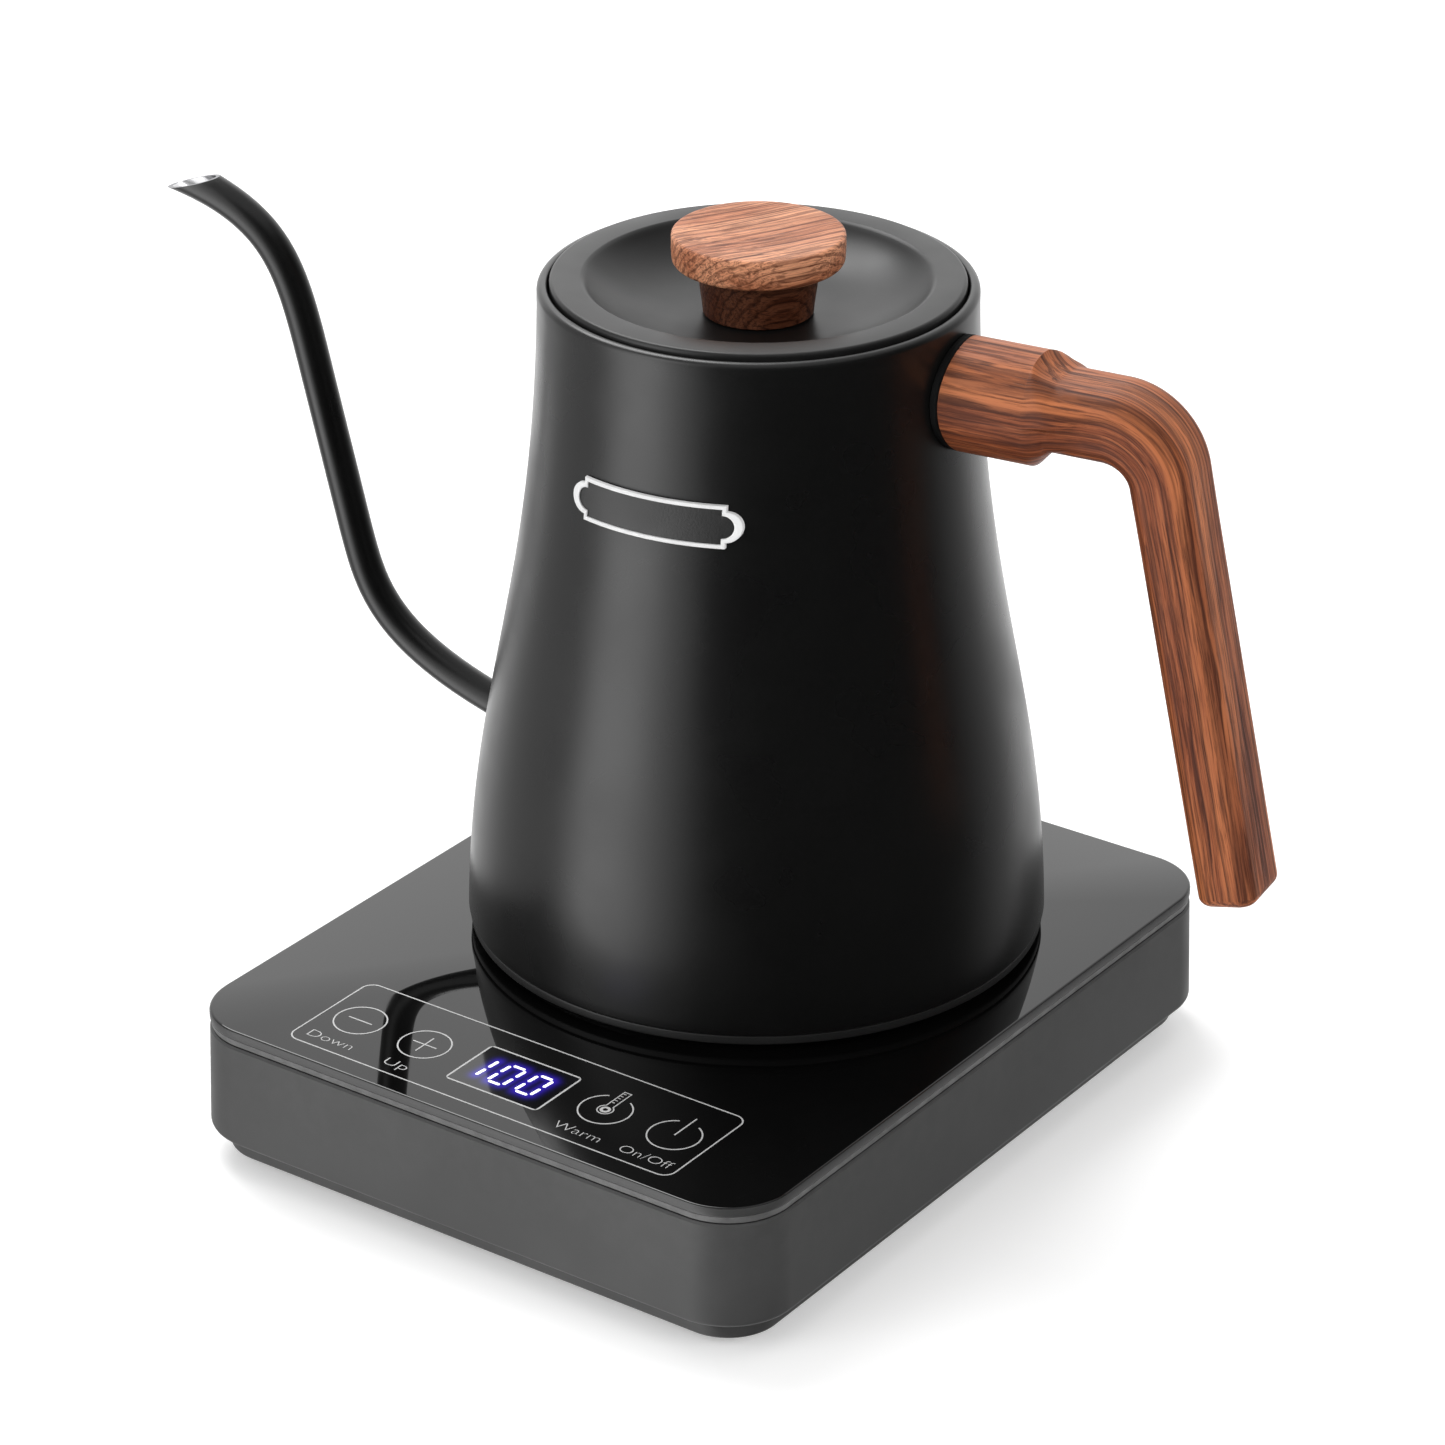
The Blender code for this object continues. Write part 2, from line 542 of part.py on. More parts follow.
def make_heating(kettle):
    rim_top = FLOOR_Z + 0.0060
    pan_r = shell_radius(rim_top) - SHELL_THICK - 3.0 * GAP
    pan = outline([
        (0.0, FLOOR_Z), (pan_r, FLOOR_Z, 0.0020), (pan_r, rim_top), (pan_r - 0.0010, rim_top),
        (pan_r - 0.0010, FLOOR_Z + 0.0010, 0.0010), (0.0, FLOOR_Z + 0.0010),
    ], 2)
    floor = lathe("heating_floor", pan, kettle, "steel", 36)
    top = FLOOR_Z - GAP
    plate = [(0.0230, top - 0.0030), (0.0600, top - 0.0030), (0.0600, top), (0.0230, top)]
    spreader = lathe("heat_spreader", plate, kettle, "aluminium", 28)
    sensor_hole = rod("sensor_hole_tool", SENSOR_PLUG_R + GAP, 0.0, 0.030, kettle, location=(*SENSOR_PLACE, 0.0))
    combine(floor, sensor_hole, "DIFFERENCE")
    combine(spreader, sensor_hole, "DIFFERENCE")
    for name, x, y in COVER_SCREWS:
        tool = rod("tapped_hole_tool", SCREW_HOLE_R, 0.0, 0.0125, kettle, location=(x, y, 0.0))
        combine(spreader, tool, "DIFFERENCE")

    element_r, wire, sweep, count = 0.0420, 0.0030, math.radians(300.0), 24
    element_z = top - 0.0030 - GAP - wire
    loops = []
    for k in range(count + 1):
        angle = -sweep / 2.0 + sweep * k / count
        outward = Vector((math.cos(angle), math.sin(angle), 0.0))
        centre = outward * element_r + Vector((0, 0, element_z))
        loops.append([centre + outward * a + Vector((0, 0, b)) for a, b in round_section(wire, 8)])
    loft("heating_element", loops, kettle, "steel")

    under = top - 0.0030 - GAP
    cutout = [(0.0, under - 0.0050), (0.0070, under - 0.0050), (0.0070, under), (0.0, under)]
    lathe("thermal_cutout", cutout, kettle, "black_plastic", 24, (*CUTOUT_PLACE, 0.0))
    probe = outline([
        (0.0, under - 0.0042), (0.0048, under - 0.0042), (0.0048, under), (SENSOR_PLUG_R, under),
        (SENSOR_PLUG_R, 0.0260, 0.0020), (0.0, 0.0260),
    ], 3)
    lathe("temperature_sensor", probe, kettle, "steel", 20, (*SENSOR_PLACE, 0.0))


def make_base_cover(kettle):
    """The plastic foot that closes the kettle from below and stands just inside its edge."""
    upstand_r = shell_radius(SHELL_BOTTOM_Z) - SHELL_THICK - GAP - 0.0003
    lip_top = SHELL_BOTTOM_Z - GAP
    foot = outline([
        (CUP_R + GAP, 0.0005), (0.0642, 0.0005), (0.0650, 0.0019), (SHELL_BOTTOM_R - 0.0004, 0.0019, 0.0006),
        (SHELL_BOTTOM_R - 0.0004, lip_top), (upstand_r, lip_top), (upstand_r, 0.0080), (upstand_r - 0.0014, 0.0080),
        (upstand_r - 0.0014, 0.0036), (0.0634, 0.0036), (0.0624, 0.0023), (CUP_R + GAP, 0.0023),
    ], 2)
    cover = lathe("kettle_base_cover", foot, kettle, "black_plastic", 38)
    spreader_bottom = FLOOR_Z - GAP - 0.0030
    for name, x, y in COVER_SCREWS:
        place = (x, y, 0.0)
        post = rod("cover_post_tool", 0.0042, 0.0015, spreader_bottom - GAP, kettle, location=place)
        pocket = rod("cover_pocket_tool", SCREW_HEAD_R + GAP, 0.0, 0.0040, kettle, location=place)
        shank = rod("cover_shank_tool", SCREW_HOLE_R, 0.0, 0.0120, kettle, location=place)
        combine(cover, post, "UNION")
        combine(cover, pocket, "DIFFERENCE")
        combine(cover, shank, "DIFFERENCE")
        screw = [(0.0, 0.0014), (SCREW_HEAD_R, 0.0014), (SCREW_HEAD_R, 0.0036), (SCREW_R, 0.0036),
                 (SCREW_R, 0.0115), (0.0, 0.0115)]
        lathe("base_cover_screw_" + name, screw, kettle, "steel", 16, place)


def make_nameplate(kettle):
    """Blank plaque that follows the body's curve, on the side a quarter turn from the handle."""
    shape = []
    for way in (1, -1):
        shape.append(Vector((way * PLAQUE_HALF_X, -way * PLAQUE_HALF_Z)))
        for k in range(7):
            angle = math.pi * (k / 6.0 - 0.5)
            reach = PLAQUE_HALF_X + PLAQUE_END_R * math.cos(angle)
            shape.append(Vector((way * reach, way * PLAQUE_END_R * math.sin(angle))))
        shape.append(Vector((way * PLAQUE_HALF_X, way * PLAQUE_HALF_Z)))
    loops = [[(p.x, y, PLAQUE_Z + p.y) for p in shape] for y in (-0.070, -0.030)]
    plaque = loft("nameplate", loops, kettle, "plaque")
    outer = body_plug("plaque_outer_tool", 0.0014, kettle, 0.110, 0.140)
    inner = body_plug("plaque_inner_tool", GAP, kettle, 0.105, 0.145)
    combine(plaque, outer, "INTERSECT")
    combine(plaque, inner, "DIFFERENCE")


# ---- handle ----
def handle_path():
    """Middle line of the handle, from inside the body to the end of the grip."""
    points = [Vector((0.0440, HANDLE_Z)), Vector((0.0560, HANDLE_Z))]
    for x in (0.0714, 0.0724, 0.0732, 0.0740, 0.0750, 0.0762, 0.0780):
        points.append(Vector((x, HANDLE_Z + (ARM_Z - HANDLE_Z) * soft_step((x - LOW_STEP[0]) / 0.0048))))
    turn = math.pi / 2.0 - GRIP_LEAN
    steps = 8
    for k in range(steps + 1):
        angle = turn * k / steps
        points.append(Vector((ARM_END_X + BEND_R * math.sin(angle), ARM_Z - BEND_R * (1.0 - math.cos(angle)))))
    bend_end = points[-1]
    down = Vector((math.sin(GRIP_LEAN), -math.cos(GRIP_LEAN)))
    length = (bend_end.y - GRIP_END_Z) / math.cos(GRIP_LEAN)
    end_round = 0.0024
    for share in (0.2, 0.4, 0.6, 0.8):
        points.append(bend_end + down * length * share)
    for back in (end_round, end_round * 0.45, 0.0):
        points.append(bend_end + down * (length - back))
    return points


def soft_step(value):
    """Eases from 0 to 1."""
    value = max(0.0, min(1.0, value))
    return value * value * (3.0 - 2.0 * value)


def handle_section(x, grip, shrink):
    """Four rounded corners; the section steps from the round collar to the flatter arm."""
    half, wide, corner = [a + (b - a) * grip for a, b in zip(ARM_SECTION, GRIP_SECTION)]
    slim = soft_step((x - SIDE_STEP[0]) / SIDE_STEP[1])
    b = COLLAR_R + (wide - COLLAR_R) * slim - shrink
    points = []
    for quarter, (up, out) in enumerate(((1, 1), (-1, 1), (-1, -1), (1, -1))):
        start, length = TOP_STEP if up > 0 else LOW_STEP
        drop = soft_step((x - start) / length)
        a = COLLAR_R + (half - COLLAR_R) * drop - shrink
        r = min(COLLAR_R + (corner - COLLAR_R) * drop - shrink, a, b)
        for k in range(5):
            angle = math.pi / 2.0 * (quarter + (k + 0.04) / 4.08)
            points.append((up * (a - r) + r * math.cos(angle), out * (b - r) + r * math.sin(angle)))
    return points


def make_handle(kettle):
    path = handle_path()
    last = len(path) - 1
    bend_start = 9
    end_shrink = {last: 0.0019, last - 1: 0.0005}

    def section(k):
        x = path[k].x if k < bend_start else 1.0
        grip = min(1.0, max(0.0, (k - bend_start) / 8.0))
        return handle_section(x, grip, end_shrink.get(k, 0.0))

    handle = loft("handle", sweep_rows(path, section), kettle, "wood")
    saddle = body_plug("handle_saddle_tool", 2.0 * GAP + GASKET_THICK, kettle, 0.110, 0.161)
    combine(handle, saddle, "DIFFERENCE")
    start = (0.0400, 0.0, HANDLE_Z)
    bore = cross_rod("bracket_bore_tool", BRACKET_R + GAP, start, (0.0662, 0.0, HANDLE_Z), kettle)
    combine(handle, bore, "DIFFERENCE")
    shank = rod("handle_shank_tool", SCREW_HOLE_R, 0.1280, HANDLE_Z, kettle, location=(HANDLE_SCREW_X, 0, 0))
    combine(handle, shank, "DIFFERENCE")
    low = HANDLE_Z - COLLAR_R
    pocket = rod(
        "handle_pocket_tool", SCREW_HEAD_R + GAP, low - 0.002, low + 0.0032, kettle, location=(HANDLE_SCREW_X, 0, 0)
    )
    combine(handle, pocket, "DIFFERENCE")

    gasket = cross_rod("handle_gasket", COLLAR_R, start, (0.0600, 0.0, HANDLE_Z), kettle, "rubber", 32)
    outer = body_plug("gasket_outer_tool", GAP + GASKET_THICK, kettle, 0.115, 0.160)
    inner = body_plug("gasket_inner_tool", GAP, kettle, 0.110, 0.161)
    combine(gasket, outer, "INTERSECT")
    combine(gasket, inner, "DIFFERENCE")
    combine(gasket, bore, "DIFFERENCE")

    bracket = cross_rod("handle_bracket", BRACKET_R, start, (0.0658, 0.0, HANDLE_Z), kettle, "steel")
    combine(bracket, inner, "DIFFERENCE")
    thread = rod(
        "bracket_thread_tool", SCREW_HOLE_R, HANDLE_Z - 0.010, HANDLE_Z + 0.0035, kettle,
        location=(HANDLE_SCREW_X, 0, 0),
    )
    combine(bracket, thread, "DIFFERENCE")
    head_low = low + 0.0006
    head_high = low + 0.0028
    screw = [(0.0, head_low), (SCREW_HEAD_R, head_low), (SCREW_HEAD_R, head_high), (SCREW_R, head_high),
             (SCREW_R, HANDLE_Z + 0.003), (0.0, HANDLE_Z + 0.003)]
    lathe("handle_screw", screw, kettle, "steel", 16, (HANDLE_SCREW_X, 0.0, 0.0))


# ---- lid ----
def make_lid(lid):
    """Heights here are above the glass, like the kettle's."""
    thick = 0.0011
    hub = 0.0140
    dish = bezier_points((DISH_R, LID_TOP_Z), (0.0350, 0.1578), (0.0250, DISH_BOTTOM_Z), (hub, DISH_BOTTOM_Z), 6)
    under = [Vector((p.x, p.y - thick)) for p in reversed(dish)]
    skirt_low = LEDGE_Z + GAP
    side = outline([
        (DISH_R, LID_TOP_Z - thick), (LID_R - thick, LID_TOP_Z - thick), (LID_R - thick, skirt_low),
        (LID_R, skirt_low), (LID_R, LID_TOP_Z, 0.0007), (DISH_R, LID_TOP_Z),
    ], 2)
    points = side[1:-1] + dish
    points += [Vector((SCREW_HOLE_R, DISH_BOTTOM_Z)), Vector((SCREW_HOLE_R, DISH_BOTTOM_Z - thick))] + under
    lathe("lid_cap", points, lid, "lid_coat", 44)

    wall = 0.0012
    outer = 0.0446
    liner = [
        (LID_R - thick - GAP, skirt_low + 0.0014), (LID_R - thick - GAP, skirt_low + 0.0026),
        (outer - wall, skirt_low + 0.0026), (outer - wall, 0.1472), (0.0060, 0.1472), (0.0060, 0.1460),
        (outer, 0.1460), (outer, skirt_low + 0.0014),
    ]
    lathe("lid_liner", liner, lid, "black_plastic", 36)
    seal = outline([
        (outer + GAP, 0.1495), (0.0459, 0.1510, 0.0004), (outer + 0.0008, 0.1520), (0.0459, 0.1530, 0.0004),
        (outer + GAP, 0.1545),
    ], 2)
    lathe("lid_seal", seal, lid, "silicone", 32)

    foot = DISH_BOTTOM_Z + GAP
    top = KNOB_TOP_Z
    grain = outline([
        (0.0, foot), (0.0127, foot, 0.0004), (0.0135, foot + 0.0056, 0.0090), (0.0143, top - 0.0074, 0.0008),
        (KNOB_R - 0.0002, top - 0.0074, 0.0010), (KNOB_R, top, 0.0010), (0.0160, top - 0.0001), (0.0, top - 0.0006),
    ], 2)
    knob = lathe("knob", grain, lid, "wood", 32)
    bore = rod("knob_bore_tool", SCREW_HOLE_R, foot - 0.002, foot + 0.0125, lid)
    combine(knob, bore, "DIFFERENCE")
    plate_low = DISH_BOTTOM_Z - thick
    washer = [(SCREW_HOLE_R, plate_low - GAP), (0.0050, plate_low - GAP), (0.0050, plate_low - GAP - 0.0008),
              (SCREW_HOLE_R, plate_low - GAP - 0.0008)]
    lathe("knob_washer", washer, lid, "steel", 24)
    head_high = plate_low - 2.0 * GAP - 0.0008
    screw = [(0.0, head_high - 0.0022), (SCREW_HEAD_R, head_high - 0.0022), (SCREW_HEAD_R, head_high),
             (SCREW_R, head_high), (SCREW_R, foot + 0.0115), (0.0, foot + 0.0115)]
    lathe("knob_screw", screw, lid, "steel", 16)


def main():
    clear_scene()
    base = empty("base_frame", (BASE_X, 0.0, 0.0))
    swivel = empty("kettle_axis", (BASE_X, KETTLE_Y, GLASS_TOP_Z), KETTLE_TURN)
    lid = empty("lid_axis", (0.0, 0.0, 0.0), parent=swivel)
    make_base_case(base)
    make_base_fasteners(base)
    make_base_socket(base)
    make_base_electronics(base)
    make_connector(swivel)
    make_body_shell(swivel)
    make_spout(swivel)
    make_heating(swivel)
    make_base_cover(swivel)
    make_nameplate(swivel)
    make_handle(swivel)
    make_lid(lid)


main()
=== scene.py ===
import math

import bmesh
import bpy
import numpy as np
from mathutils import Matrix, Vector
from mathutils.geometry import interpolate_bezier


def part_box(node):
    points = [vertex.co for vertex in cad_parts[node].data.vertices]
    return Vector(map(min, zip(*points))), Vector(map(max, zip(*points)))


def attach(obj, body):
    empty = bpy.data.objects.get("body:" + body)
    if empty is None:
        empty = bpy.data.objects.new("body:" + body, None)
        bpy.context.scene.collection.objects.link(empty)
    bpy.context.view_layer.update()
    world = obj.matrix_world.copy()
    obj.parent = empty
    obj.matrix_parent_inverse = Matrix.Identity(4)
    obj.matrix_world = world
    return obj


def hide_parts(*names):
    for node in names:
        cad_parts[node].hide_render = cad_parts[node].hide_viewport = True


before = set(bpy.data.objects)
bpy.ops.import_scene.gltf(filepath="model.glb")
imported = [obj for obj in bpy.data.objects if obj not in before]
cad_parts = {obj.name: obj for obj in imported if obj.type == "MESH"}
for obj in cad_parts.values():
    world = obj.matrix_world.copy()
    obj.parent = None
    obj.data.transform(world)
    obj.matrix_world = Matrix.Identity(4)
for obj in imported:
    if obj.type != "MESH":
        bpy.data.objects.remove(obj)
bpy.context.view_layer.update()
print("frame loaded:", len(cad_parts), "nodes")


# where things are, read from the frame
def middleOf(node):
    low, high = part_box(node)
    return (low + high) / 2


glassLow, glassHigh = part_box("glass_top")
glassTop = glassHigh.z
baseMiddle = middleOf("glass_top")
axis = middleOf("body_shell")
handleScrew = middleOf("handle_screw")
turn = math.atan2(handleScrew.y - axis.y, handleScrew.x - axis.x)    # how far the kettle stands turned
basePlace = Matrix.Translation((baseMiddle.x, baseMiddle.y, 0.0))
kettlePlace = Matrix.Translation((axis.x, axis.y, glassTop)) @ Matrix.Rotation(turn, 4, "Z")


def pointsIn(node, place):
    back = place.inverted()
    return np.array([back @ v.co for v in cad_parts[node].data.vertices])


def reachOf(node, place=kettlePlace):
    points = pointsIn(node, place)
    return float(np.hypot(points[:, 0], points[:, 1]).max())


def heightsOf(node):
    low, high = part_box(node)
    return low.z - glassTop, high.z - glassTop    # above the glass


# camera
cameraSet = {
    "aim": (-0.0048, 0.0306, 0.0791),
    "distance": 1.2555,
    "azimuth": 35.47,      # degrees to the right of the front
    "elevation": 26.28,
    "lens": 129.8,
}


def makeCamera():
    a = math.radians(cameraSet["azimuth"])
    e = math.radians(cameraSet["elevation"])
    back = Vector((math.sin(a) * math.cos(e), -math.cos(a) * math.cos(e), math.sin(e)))
    camera = bpy.data.objects.new("studioCamera", bpy.data.cameras.new("studioCamera"))
    bpy.context.scene.collection.objects.link(camera)
    camera.location = Vector(cameraSet["aim"]) + back * cameraSet["distance"]
    camera.rotation_euler = (math.pi / 2 - e, 0.0, a)
    camera.data.lens = cameraSet["lens"]
    camera.data.sensor_width = 36.0
    camera.data.clip_start = 0.05
    camera.data.clip_end = 50.0
    bpy.context.scene.camera = camera


# shader building
def feed(tree, socket, value):
    # a link if the value comes out of a node, otherwise a plain setting
    if isinstance(value, bpy.types.NodeSocket):
        tree.links.new(value, socket)
    elif value is not None:
        socket.default_value = value


def addNode(tree, kind, sockets=None, **settings):
    node = tree.nodes.new("ShaderNode" + kind)
    for key, value in settings.items():
        setattr(node, key, value)
    for socket, value in (sockets or {}).items():
        feed(tree, node.inputs[socket], value)
    return node


def maths(tree, operation, a, b=None):
    return addNode(tree, "Math", {0: a, 1: b}, operation=operation).outputs[0]


def blendColours(tree, share, a, b, how="MIX"):
    return addNode(tree, "Mix", {0: share, 6: a, 7: b}, data_type="RGBA", blend_type=how).outputs[2]


def remap(tree, value, low, high, newLow=0.0, newHigh=1.0):
    return addNode(tree, "MapRange", {
        "Value": value, "From Min": low, "From Max": high, "To Min": newLow, "To Max": newHigh},
        interpolation_type="SMOOTHSTEP").outputs[0]


def noise(tree, place, scale, detail, roughness=0.5):
    return addNode(tree, "TexNoise", {
        "Vector": place, "Scale": scale, "Detail": detail, "Roughness": roughness}).outputs


def split(tree, place):
    return addNode(tree, "SeparateXYZ", {"Vector": place}).outputs


def join(tree, x, y, z):
    return addNode(tree, "CombineXYZ", {"X": x, "Y": y, "Z": z}).outputs[0]


def vectorMaths(tree, operation, sockets):
    return addNode(tree, "VectorMath", sockets, operation=operation).outputs


def newGroup(name, inputs, outputs):
    # each input comes with its usual value: a number, a colour, or nothing for a place
    tree = bpy.data.node_groups.new(name, "ShaderNodeTree")
    for label, value in inputs.items():
        kind = "Vector" if value is None else "Color" if isinstance(value, tuple) else "Float"
        socket = tree.interface.new_socket(name=label, in_out="INPUT", socket_type="NodeSocket" + kind)
        if value is not None:
            socket.default_value = value
    for label in outputs:
        kind = "Color" if label == "Color" else "Float"
        tree.interface.new_socket(name=label, in_out="OUTPUT", socket_type="NodeSocket" + kind)
    start = tree.nodes.new("NodeGroupInput").outputs
    end = tree.nodes.new("NodeGroupOutput").inputs
    return tree, start, end


def useGroup(tree, group, sockets):
    return addNode(tree, "Group", sockets, node_tree=group)


def grey(value):
    return (value, value, value, 1.0)


# shared effects
def makeGrainGroup():
    # fine orange-peel grain and a slow drift, for powder coat and moulded plastic
    tree, start, end = newGroup("fineGrain", {"Place": None, "Grain Size": 0.0004, "Drift Size": 0.03},
                                ["Grain", "Drift"])
    for label, detail in (("Grain", 2.0), ("Drift", 3.0)):
        scale = maths(tree, "DIVIDE", 1.0, start[label + " Size"])
        tree.links.new(noise(tree, start["Place"], scale, detail)["Fac"], end[label])
    return tree


def makeEdgeGroup():
    # where corners stick out, broken up so that the wear isn't even
    tree, start, end = newGroup("edgeWear", {"Place": None, "Sharpness": 0.52, "Breakup Size": 0.004},
                                ["Mask"])
    shape = addNode(tree, "NewGeometry")
    edge = remap(tree, shape.outputs["Pointiness"], start["Sharpness"],
                 maths(tree, "ADD", start["Sharpness"], 0.06))
    broken = noise(tree, start["Place"], maths(tree, "DIVIDE", 1.0, start["Breakup Size"]), 4.0)
    patchy = remap(tree, broken["Fac"], 0.35, 0.65)
    tree.links.new(maths(tree, "MULTIPLY", edge, patchy), end["Mask"])
    return tree


def makeBrushGroup():
    # fine lines left by brushing or turning, running round the piece's own vertical axis
    tree, start, end = newGroup("brushedLines", {"Place": None, "Line Width": 0.0002}, ["Lines"])
    parts = split(tree, start["Place"])
    flat = join(tree, parts["X"], parts["Y"], 0.0)
    radius = vectorMaths(tree, "LENGTH", {0: flat})["Value"]
    place = join(tree, maths(tree, "DIVIDE", radius, start["Line Width"]),
                 maths(tree, "ARCTAN2", parts["Y"], parts["X"]),
                 maths(tree, "DIVIDE", parts["Z"], start["Line Width"]))
    tree.links.new(noise(tree, place, 1.0, 3.0)["Fac"], end["Lines"])
    return tree


woodDetail = {
    "warpScale": 85.0, "driftScale": 130.0, "fibreScale": 1250.0, "poreScale": 2100.0,
    "fibreRun": 0.028,                       # how long the fibres are drawn out
    "lateSharpness": 4.0, "doubleRings": 3.3, "ringDepth": 0.58, "streakDepth": 0.62, "threadDepth": 0.40,
    "poreDepth": 0.55,
}


def makeWoodGroup():
    # growth rings round a wandering centre, fine fibre and open pores; X runs along the grain
    tree, start, end = newGroup("woodFigure", {
        "Place": None, "Pale": grey(0.4), "Middle": grey(0.2), "Dark": grey(0.05),
        "Ring Spacing": 0.003, "Wander": 0.006, "Stretch": 0.10}, ["Color", "Fibre", "Pores"])
    parts = split(tree, start["Place"])
    slow = join(tree, maths(tree, "MULTIPLY", parts["X"], start["Stretch"]), parts["Y"], parts["Z"])
    warp = noise(tree, slow, woodDetail["warpScale"], 4.0, 0.6)
    centred = vectorMaths(tree, "SUBTRACT", {0: warp["Color"], 1: (0.5, 0.5, 0.5)})[0]
    pushed = vectorMaths(tree, "SCALE", {0: centred, "Scale": start["Wander"]})[0]
    across = split(tree, vectorMaths(tree, "ADD", {0: slow, 1: pushed})[0])
    flat = join(tree, 0.0, across["Y"], across["Z"])
    radius = vectorMaths(tree, "LENGTH", {0: flat})["Value"]
    phase = maths(tree, "MULTIPLY", maths(tree, "DIVIDE", radius, start["Ring Spacing"]), 2 * math.pi)
    wave = maths(tree, "ADD", maths(tree, "MULTIPLY", maths(tree, "SINE", phase), 0.5), 0.5)
    late = maths(tree, "POWER", wave, woodDetail["lateSharpness"])
    second = maths(tree, "SINE", maths(tree, "MULTIPLY", phase, woodDetail["doubleRings"]))
    late = maths(tree, "ADD", late, maths(tree, "MULTIPLY", remap(tree, second, 0.3, 1.0), 0.50))
    fibrePlace = join(tree, maths(tree, "MULTIPLY", parts["X"], woodDetail["fibreRun"]), across["Y"],
                      across["Z"])
    fibre = noise(tree, fibrePlace, woodDetail["fibreScale"], 5.0, 0.72)["Fac"]
    pores = remap(tree, noise(tree, fibrePlace, woodDetail["poreScale"], 2.0)["Fac"], 0.56, 0.66)
    drift = noise(tree, slow, woodDetail["driftScale"], 3.0)["Fac"]
    ground = blendColours(tree, remap(tree, drift, 0.38, 0.62), start["Middle"], start["Pale"])
    ringed = blendColours(tree, maths(tree, "MULTIPLY", late, woodDetail["ringDepth"]), ground, start["Dark"])
    streak = blendColours(tree, remap(tree, fibre, 0.48, 0.60, 0.0, woodDetail["streakDepth"]), ringed,
                          start["Dark"])
    paleThread = blendColours(tree, remap(tree, fibre, 0.46, 0.36, 0.0, woodDetail["threadDepth"]), streak,
                              start["Pale"])
    colour = blendColours(tree, maths(tree, "MULTIPLY", pores, woodDetail["poreDepth"]), paleThread,
                          start["Dark"])
    tree.links.new(colour, end["Color"])
    tree.links.new(fibre, end["Fibre"])
    tree.links.new(pores, end["Pores"])
    return tree


fineGrain = makeGrainGroup()
edgeWear = makeEdgeGroup()
brushedLines = makeBrushGroup()
woodFigure = makeWoodGroup()
print("shared effects ready")


# materials
def newMaterial(name, **plain):
    material = bpy.data.materials.new(name)
    material.use_nodes = True
    tree = material.node_tree
    shader = tree.nodes["Principled BSDF"]
    for socket, value in plain.items():
        shader.inputs[socket.replace("_", " ")].default_value = value
    place = addNode(tree, "TexCoord").outputs["Object"]
    return material, tree, shader.inputs, place


def connect(tree, sockets, colour, rough, height, depth):
    # colour, roughness and fine relief of a surface
    bump = addNode(tree, "Bump", {"Height": height, "Distance": depth, "Strength": 1.0})
    feed(tree, sockets["Base Color"], colour)
    feed(tree, sockets["Roughness"], rough)
    feed(tree, sockets["Normal"], bump.outputs["Normal"])


coatedKeys = ("colour", "worn", "roughness", "spread", "grain", "bump", "specular")
coated = {
    "blackCoat": (0.0016, 0.030, 0.30, 0.05, 0.00035, 0.0000035, 0.5),
    "lidCoat": (0.005, 0.030, 0.36, 0.05, 0.00030, 0.000004, 0.36),
    "housingPlastic": (0.056, 0.075, 0.50, 0.06, 0.00045, 0.000006, 0.30),
    "bezelPlastic": (0.085, 0.17, 0.50, 0.10, 0.00090, 0.000030, 0.5),
    "gasketBlack": (0.003, 0.008, 0.70, 0.05, 0.00060, 0.000006, 0.2),
    "blackPlastic": (0.012, 0.035, 0.48, 0.08, 0.00040, 0.000008, 0.5),
    "rubberBlack": (0.020, 0.050, 0.80, 0.08, 0.00060, 0.000012, 0.35),
    "plaqueField": (0.020, 0.030, 0.42, 0.10, 0.00050, 0.000050, 0.5),
    "plaqueRim": (0.86, 0.70, 0.40, 0.08, 0.00040, 0.000004, 0.5),
    "printInk": (0.55, 0.45, 0.35, 0.08, 0.00020, 0.000001, 0.5),
}


def makeCoated(name):
    look = dict(zip(coatedKeys, coated[name]))
    material, tree, sockets, place = newMaterial(name, Specular_IOR_Level=look["specular"])
    grain = useGroup(tree, fineGrain, {"Place": place, "Grain Size": look["grain"]}).outputs
    worn = useGroup(tree, edgeWear, {"Place": place}).outputs["Mask"]
    drifted = blendColours(tree, grain["Drift"], grey(look["colour"] * 0.82), grey(look["colour"] * 1.18))
    speckled = blendColours(tree, maths(tree, "MULTIPLY", grain["Grain"], 0.25), drifted, grey(look["worn"]))
    colour = blendColours(tree, maths(tree, "MULTIPLY", worn, 0.5), speckled, grey(look["worn"]))
    low = look["roughness"] - look["spread"]
    rough = remap(tree, grain["Drift"], 0.3, 0.7, low, look["roughness"] + look["spread"])
    connect(tree, sockets, colour, rough, grain["Grain"], look["bump"])
    return material


metals = {
    "steelBrushed": {"colour": (0.62, 0.61, 0.59), "roughness": 0.26, "line": 0.00018},
    "steelBright": {"colour": (0.50, 0.50, 0.51), "roughness": 0.24, "line": 0.00010},
    "steelLip": {"colour": (0.20, 0.20, 0.21), "roughness": 0.32, "line": 0.00010},
    "aluminiumPlain": {"colour": (0.70, 0.70, 0.71), "roughness": 0.38, "line": 0.00040},
    "brassPlain": {"colour": (0.76, 0.56, 0.27), "roughness": 0.28, "line": 0.00020},
}


